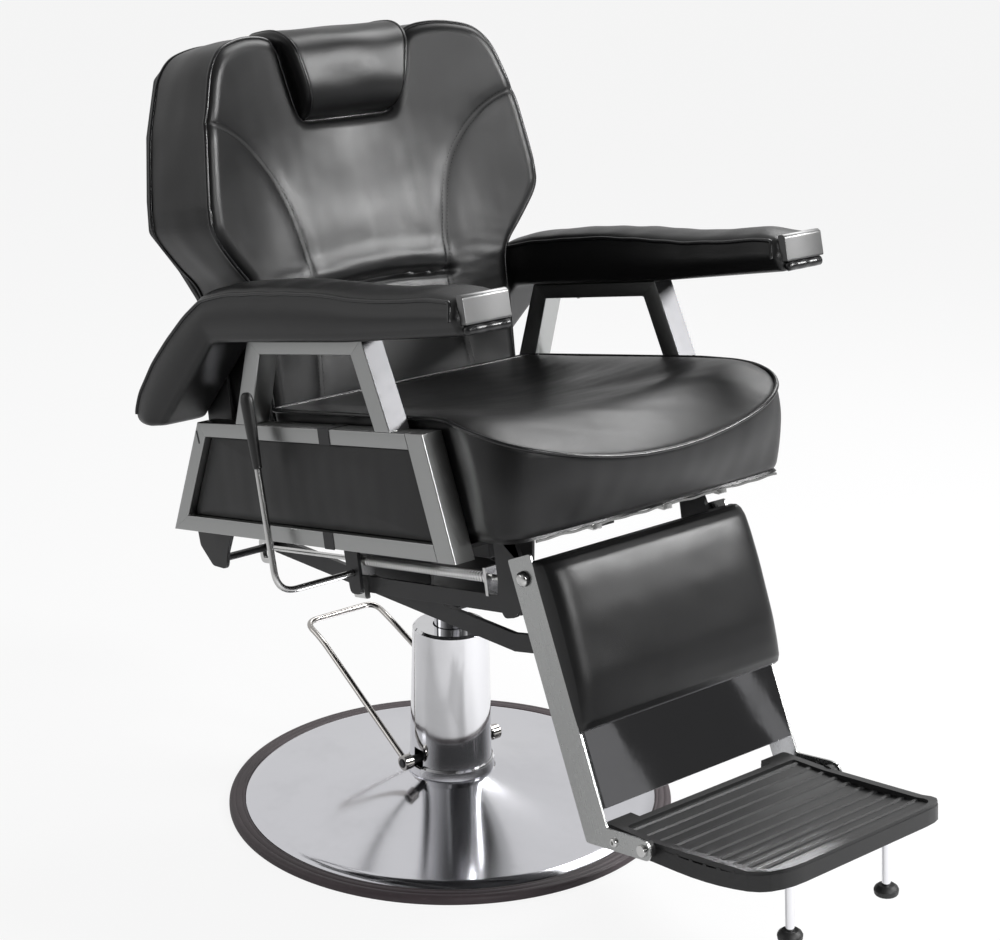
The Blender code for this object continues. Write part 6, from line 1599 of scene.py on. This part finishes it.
# ---------------------------------------------------------------- leg rest and footrest
@dataclass
class LegRest:
    """Side rails, mirrored kick panel and a padded leg board with a rolled top."""

    half: float = 0.188
    top: float = 0.020
    bottom: float = -0.216
    rear: float = -0.0286
    front: tuple[Pair, ...] = ((-0.216, -0.049), (-0.150, -0.064), (-0.070, -0.070), (0.020, -0.070))
    fullness: tuple[Pair, ...] = ((0.0, 0.0), (0.012, 0.55), (0.05, 0.90), (0.14, 1.0), (0.35, 1.0),
                                  (0.6, 1.0), (0.82, 1.0), (0.915, 0.94), (0.965, 0.76), (0.99, 0.48),
                                  (1.0, 0.0))

    def pad(self) -> Patch:
        """A stack of sections: flat rear, front that swells with the pad's fullness at that height."""
        table = np.array(self.fullness)
        soft = eased(resampled(table, 400), 10)
        soft[[0, -1]] = table[[0, -1]]
        rows = resampled(soft, 110)
        t, full = rows[:, 0], rows[:, 1]
        z = self.bottom + (self.top - self.bottom) * t
        line = eased(resampled(np.array(self.front), 200), 20)
        front = np.interp(z, line[:, 0], line[:, 1])
        half = self.half - 0.004 * (1.0 - full)
        draw = 0.10 * np.linspace(0.0, 1.0, 12) ** 2.2
        u = np.concatenate([draw - 1.0, np.linspace(-0.885, 0.885, 64), 1.0 - draw[::-1]])
        side = 0.62 + 0.38 * (1.0 - np.abs(u) ** 18)
        reach = (front - self.rear)[:, None] * (0.25 + 0.75 * full)[:, None] * side
        x = u * half[:, None]
        face = np.stack([x, self.rear + reach, np.broadcast_to(z[:, None], x.shape)], axis=-1)
        inner = full[:, None] * (1.0 - np.abs(u) ** 10)
        face[..., 1] -= 0.0030 * inner * (1.0 - u ** 2)
        face[..., 1] += (0.0007 * rumple(face, 0.16, 15) + 0.00012 * rumple(face, 0.04, 16)) * inner
        back_u = np.linspace(1.0, -1.0, 14)
        flat = np.stack([back_u * half[:, None], np.full((len(z), 14), self.rear),
                         np.broadcast_to(z[:, None], (len(z), 14))], axis=-1)
        rings = np.concatenate([face, flat], axis=1)
        return capped(LEG_FRAME.world(rings))

    def build(self) -> None:
        """Build the leg board and dress the rails and the panel."""
        cushion("leg_board_pad", self.pad(), Body.LEG_REST, "leg_pad")
        for side in Side:
            refined(f"leg_rail_{side.word}", Body.LEG_REST, SATIN_UPRIGHT, 0.0006)
        refined("kick_panel", Body.LEG_REST, PANEL_MIRROR)
        refined("leg_cross_tube", Body.LEG_REST, BLACK_STEEL)


@dataclass
class Footrest:
    """Ribbed moulded tray with chrome legs on rubber feet."""

    def build(self) -> None:
        """Dress the tray, bolts, legs and feet."""
        refined("footrest_tray", Body.FOOTREST, TRAY_RUBBER, 0.0005, 28.0)
        for side in Side:
            refined(f"footrest_bolt_{side.word}", Body.FOOTREST, PLATED_STEEL)
            refined(f"foot_leg_{side.word}", Body.FOOTREST, MIRROR)
            refined(f"foot_pad_{side.word}", Body.FOOTREST, TRAY_RUBBER)


@dataclass
class Trims:
    """Small fasteners and bands that the photograph shows on the rails."""

    frame_face: float = 0.290
    rail_face: float = 0.185
    arm_bolt_x: float = 0.273
    arm_bolts_y: Pair = (-0.039, -0.191)
    arm_bar_foot: float = 0.278
    pin_cap_radius: float = 0.0104
    pin_cap_height: float = 0.0045

    def head(self, size: float) -> Patch:
        """A socket bolt head about the Z axis."""
        profile = [(0.0, 0.0012), (0.0019, 0.0012), (0.0021, 0.0030), (0.0036, 0.0032), (0.0048, 0.0024),
                   (0.0052, 0.0010), (0.0052, -0.0002), (0.0, -0.0002)]
        return turned([(r * size, h * size) for r, h in profile], 32)

    def rail_bolt(self, place: Triple, side: Side, size: float) -> Patch:
        """A bolt head that stands on the side face of a leg rail."""
        return along_x(self.head(size), *place, side.value).placed(LEG_FRAME)

    def hanging_bolt(self, place: Triple, size: float) -> Patch:
        """A bolt head that hangs under a bar of the seat's frame."""
        bolt = self.head(size)
        bolt.points = bolt.points * (1.0, -1.0, -1.0) + np.array(place)
        return bolt.placed(SEAT_FRAME)

    def pin_cap(self, place: Triple, side: Side) -> Patch:
        """A low dome over the end of the leg rest's pivot pin."""
        radius = self.pin_cap_radius
        profile = [(radius * math.sin(a), self.pin_cap_height * math.cos(a))
                   for a in np.linspace(0.0, np.pi / 2, 9)]
        cap = turned([*profile, (radius, -0.0002), (0.0, -0.0002)], 40)
        return along_x(cap, *place, side.value).placed(LEG_FRAME)

    def bands(self, side: Side) -> list[Patch]:
        """The dark strap over the top rail and the clamp on the bottom rail."""
        out = side.value
        face = self.frame_face
        strap = block(box_of((-0.1275, -0.1010), (0.1505, 0.1742)),
                      (out * (face - 0.0005), out * (face + 0.0012)))
        over = block(box_of((-0.1275, -0.1010), (0.1728, 0.1742)),
                     (out * (face - 0.034), out * (face + 0.0010)), 0.0003)
        clamp = block(box_of((-0.1035, -0.0790), (-0.0008, 0.0245)),
                      (out * (face - 0.0005), out * (face + 0.0010)))
        return [strap, over, clamp]

    def build(self) -> None:
        """Build the trims of both sides."""
        face, rail = self.frame_face, self.rail_face
        for side in Side:
            out = side.value
            piece(f"frame_bands_{side.word}", self.bands(side), Body.SEAT, BLACK_STEEL)
            # The leg face takes a darkened copy of the satin chrome: painted shade against the lamps' glare.
            skin = block([(-0.27195, 0.1745), (-0.23355, 0.2993), (-0.23385, 0.2993), (-0.27225, 0.1745)],
                         (out * (face - 0.0335), out * (face - 0.0005)), 0.0001)
            piece(f"arm_leg_face_{side.word}", skin, Body.SEAT, SHADED_SATIN_LEG_FACE)
            # A thin black sheet on the frame's face stands for the slot's dark opening: painted shade.
            slot = block([(0.2225, 0.1405), (0.2265, 0.1395), (0.2300, 0.1595), (0.2260, 0.1605)],
                         (out * (face - 0.0004), out * (face + 0.0003)), 0.0002)
            piece(f"frame_slot_{side.word}", slot, Body.SEAT, BLACK_STEEL)
            arm = [self.hanging_bolt((out * self.arm_bolt_x, y, self.arm_bar_foot), 0.9)
                   for y in self.arm_bolts_y]
            piece(f"arm_bolts_{side.word}", arm, Body.SEAT, PLATED_STEEL)
            bolt = self.rail_bolt((out * (rail + 0.0002), -0.034, -0.3654), side, 1.25)
            piece(f"rail_bolts_{side.word}", bolt, Body.LEG_REST, PLATED_STEEL)
            pin = self.pin_cap((out * (rail + 0.0043), 0.0, 0.0), side)
            piece(f"leg_pin_cap_{side.word}", pin, Body.SEAT, PLATED_STEEL)


# ---------------------------------------------------------------- studio
@dataclass(frozen=True)
class SoftBox:
    """A rectangular lamp: where it stands, what it faces, its size in metres and its power in watts."""

    name: str
    place: Triple
    aim: Triple
    size: Pair
    power: float

    def build(self) -> None:
        """Add the lamp to the scene."""
        light = bpy.data.lights.new(self.name, "AREA")
        light.shape, light.energy = "RECTANGLE", self.power
        light.size, light.size_y = self.size
        holder = put_object(self.name, light)
        holder.location = self.place
        facing = Vector(self.aim) - Vector(self.place)
        holder.rotation_euler = facing.to_track_quat("-Z", "Y").to_euler()


# The two strips stand where the kick panel mirrors them at its left and right edges.
SOFT_BOXES = (
    SoftBox("key_box", (1.9, -2.15, 2.15), (0.0, 0.2, 0.95), (0.7, 0.7), 88.0),
    SoftBox("top_box", (1.9, 0.5, 2.9), (0.0, -0.1, 0.7), (1.5, 1.5), 50.0),
    SoftBox("front_box", (-0.35, -3.0, 1.95), (0.0, 0.1, 0.95), (1.1, 0.9), 46.0),
    SoftBox("left_strip", (1.383, -2.409, 0.895), (-0.157, -0.531, 0.301), (0.13, 0.9), 0.06),
    SoftBox("right_strip", (1.853, -2.324, 0.766), (0.164, -0.555, 0.252), (0.05, 0.9), 0.025),
    SoftBox("left_box", (-2.9, 1.9, 1.5), (0.0, 0.2, 0.8), (1.0, 1.4), 7.0),
)


@dataclass
class Studio:
    """Pale floor, soft lights and the photograph's camera."""

    azimuth: float = math.radians(-39.749)
    elevation: float = math.radians(16.929)
    roll: float = math.radians(0.366)
    focal: float = 2186.58
    centre: Pair = (490.99, 421.12)
    place: Triple = (-1.9732, -2.4672, 1.5851)
    sensor: float = 36.0
    floor_half: float = 40.0
    floor_color: Triple = (0.86, 0.86, 0.87)
    floor_roughness: float = 0.75
    floor_glow_seen: float = 0.88
    floor_glow_mirrored: float = 0.22
    mirrored_dark: float = 0.045
    mirrored_bright: float = 0.66
    plain_light: float = 0.24

    def camera(self) -> None:
        """Set the camera from the photograph's measured view."""
        a, e, r = self.azimuth, self.elevation, self.roll
        ahead = Vector((-math.sin(a) * math.cos(e), math.cos(a) * math.cos(e), -math.sin(e)))
        right = Vector((math.cos(a), math.sin(a), 0.0))
        up = right.cross(ahead)
        x = math.cos(r) * right + math.sin(r) * up
        y = math.cos(r) * up - math.sin(r) * right
        turn = Matrix((x, y, -ahead)).transposed().to_4x4()
        turn.translation = Vector(self.place)
        lens = bpy.data.cameras.new("photo_camera")
        lens.sensor_fit, lens.sensor_width = "HORIZONTAL", self.sensor
        wide, high = PHOTO_SIZE
        lens.lens = self.focal * self.sensor / wide
        lens.shift_x = (wide / 2 - self.centre[0]) / wide
        lens.shift_y = (self.centre[1] - high / 2) / wide
        lens.clip_end = 200.0
        holder = put_object("photo_camera", lens)
        holder.matrix_world = turn
        bpy.context.scene.camera = holder

    def floor(self) -> None:
        """A wide pale floor that keeps the chair's shadow and looks near white."""
        half = self.floor_half
        corners = [(-half, -half, 0.0), (half, -half, 0.0), (half, half, 0.0), (-half, half, 0.0)]
        mesh = bpy.data.meshes.new("studio_floor")
        mesh.from_pydata(corners, [], [(0, 1, 2, 3)])
        made = put_object("studio_floor", mesh)
        material = bpy.data.materials.new("pale_floor")
        material.use_nodes = True
        nodes = NodeSet(material.node_tree)
        shader = material.node_tree.nodes["Principled BSDF"]
        shader.inputs["Base Color"].default_value = (*self.floor_color, 1.0)
        shader.inputs["Roughness"].default_value = self.floor_roughness
        rays = nodes.make("ShaderNodeLightPath")
        camera = Value(nodes, rays.outputs["Is Camera Ray"])
        glossy = Value(nodes, rays.outputs["Is Glossy Ray"])
        seen = camera * self.floor_glow_seen + glossy * self.floor_glow_mirrored
        glow = nodes.make("ShaderNodeEmission", None, Color=(1.0, 1.0, 1.0, 1.0), Strength=1.0)
        mix = nodes.make("ShaderNodeMixShader")
        nodes.feed(mix.inputs[0], seen)
        nodes.tree.links.new(shader.outputs[0], mix.inputs[1])
        nodes.tree.links.new(glow.outputs[0], mix.inputs[2])
        output = next(n for n in nodes.tree.nodes if n.type == "OUTPUT_MATERIAL")
        nodes.tree.links.new(mix.outputs[0], output.inputs["Surface"])
        mesh.materials.append(material)

    def world(self) -> None:
        """White to the camera, dim as a light, and dark to bright metal except towards the rear."""
        world = bpy.data.worlds.new("studio")
        bpy.context.scene.world = world
        world.use_nodes = True
        nodes = NodeSet(world.node_tree)
        back = next(n for n in world.node_tree.nodes if n.type == "BACKGROUND")
        rays = nodes.make("ShaderNodeLightPath")
        camera = Value(nodes, rays.outputs["Is Camera Ray"])
        glossy = Value(nodes, rays.outputs["Is Glossy Ray"])
        facing = nodes.make("ShaderNodeTexCoord").outputs["Generated"]
        parts = nodes.make("ShaderNodeSeparateXYZ", None, Vector=facing)
        x, y, z = (Value(nodes, parts.outputs[k]) for k in range(3))
        behind = (x * 0.10 + y * 0.92 + z * 0.20).step(-0.50, 0.80)
        seen = self.mirrored_dark + behind * self.mirrored_bright
        back.inputs["Color"].default_value = (1.0, 1.0, 1.0, 1.0)
        plain = (1.0 - camera) * (1.0 - glossy) * self.plain_light
        nodes.feed(back.inputs["Strength"], camera + glossy * seen + plain)

    def build(self) -> None:
        """Set camera, floor, world and lamps."""
        self.camera()
        self.floor()
        self.world()
        for box in SOFT_BOXES:
            box.build()
        bpy.context.scene.view_settings.view_transform = "Standard"


def plain_nodes() -> None:
    """Give the hidden pump and base plate their iron finish on the CAD pieces themselves."""
    for node in ("base_plate", "pump_cylinder"):
        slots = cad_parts[node].data.materials
        slots.clear()
        slots.append(IRON.material())


def main() -> None:
    """Build the chair's looks in order, then the studio."""
    logging.basicConfig(level=logging.INFO, format="%(name)s %(message)s")
    for part in (PumpBase(), SideFrames(), SeatCushion(), ArmPad(), BackRest(), Headrest(), Linkage(),
                 LegRest(), Footrest(), Trims()):
        part.build()
        LOG.info("%s is built", type(part).__name__)
    plain_nodes()
    Studio().build()


if __name__ == "__main__":
    main()
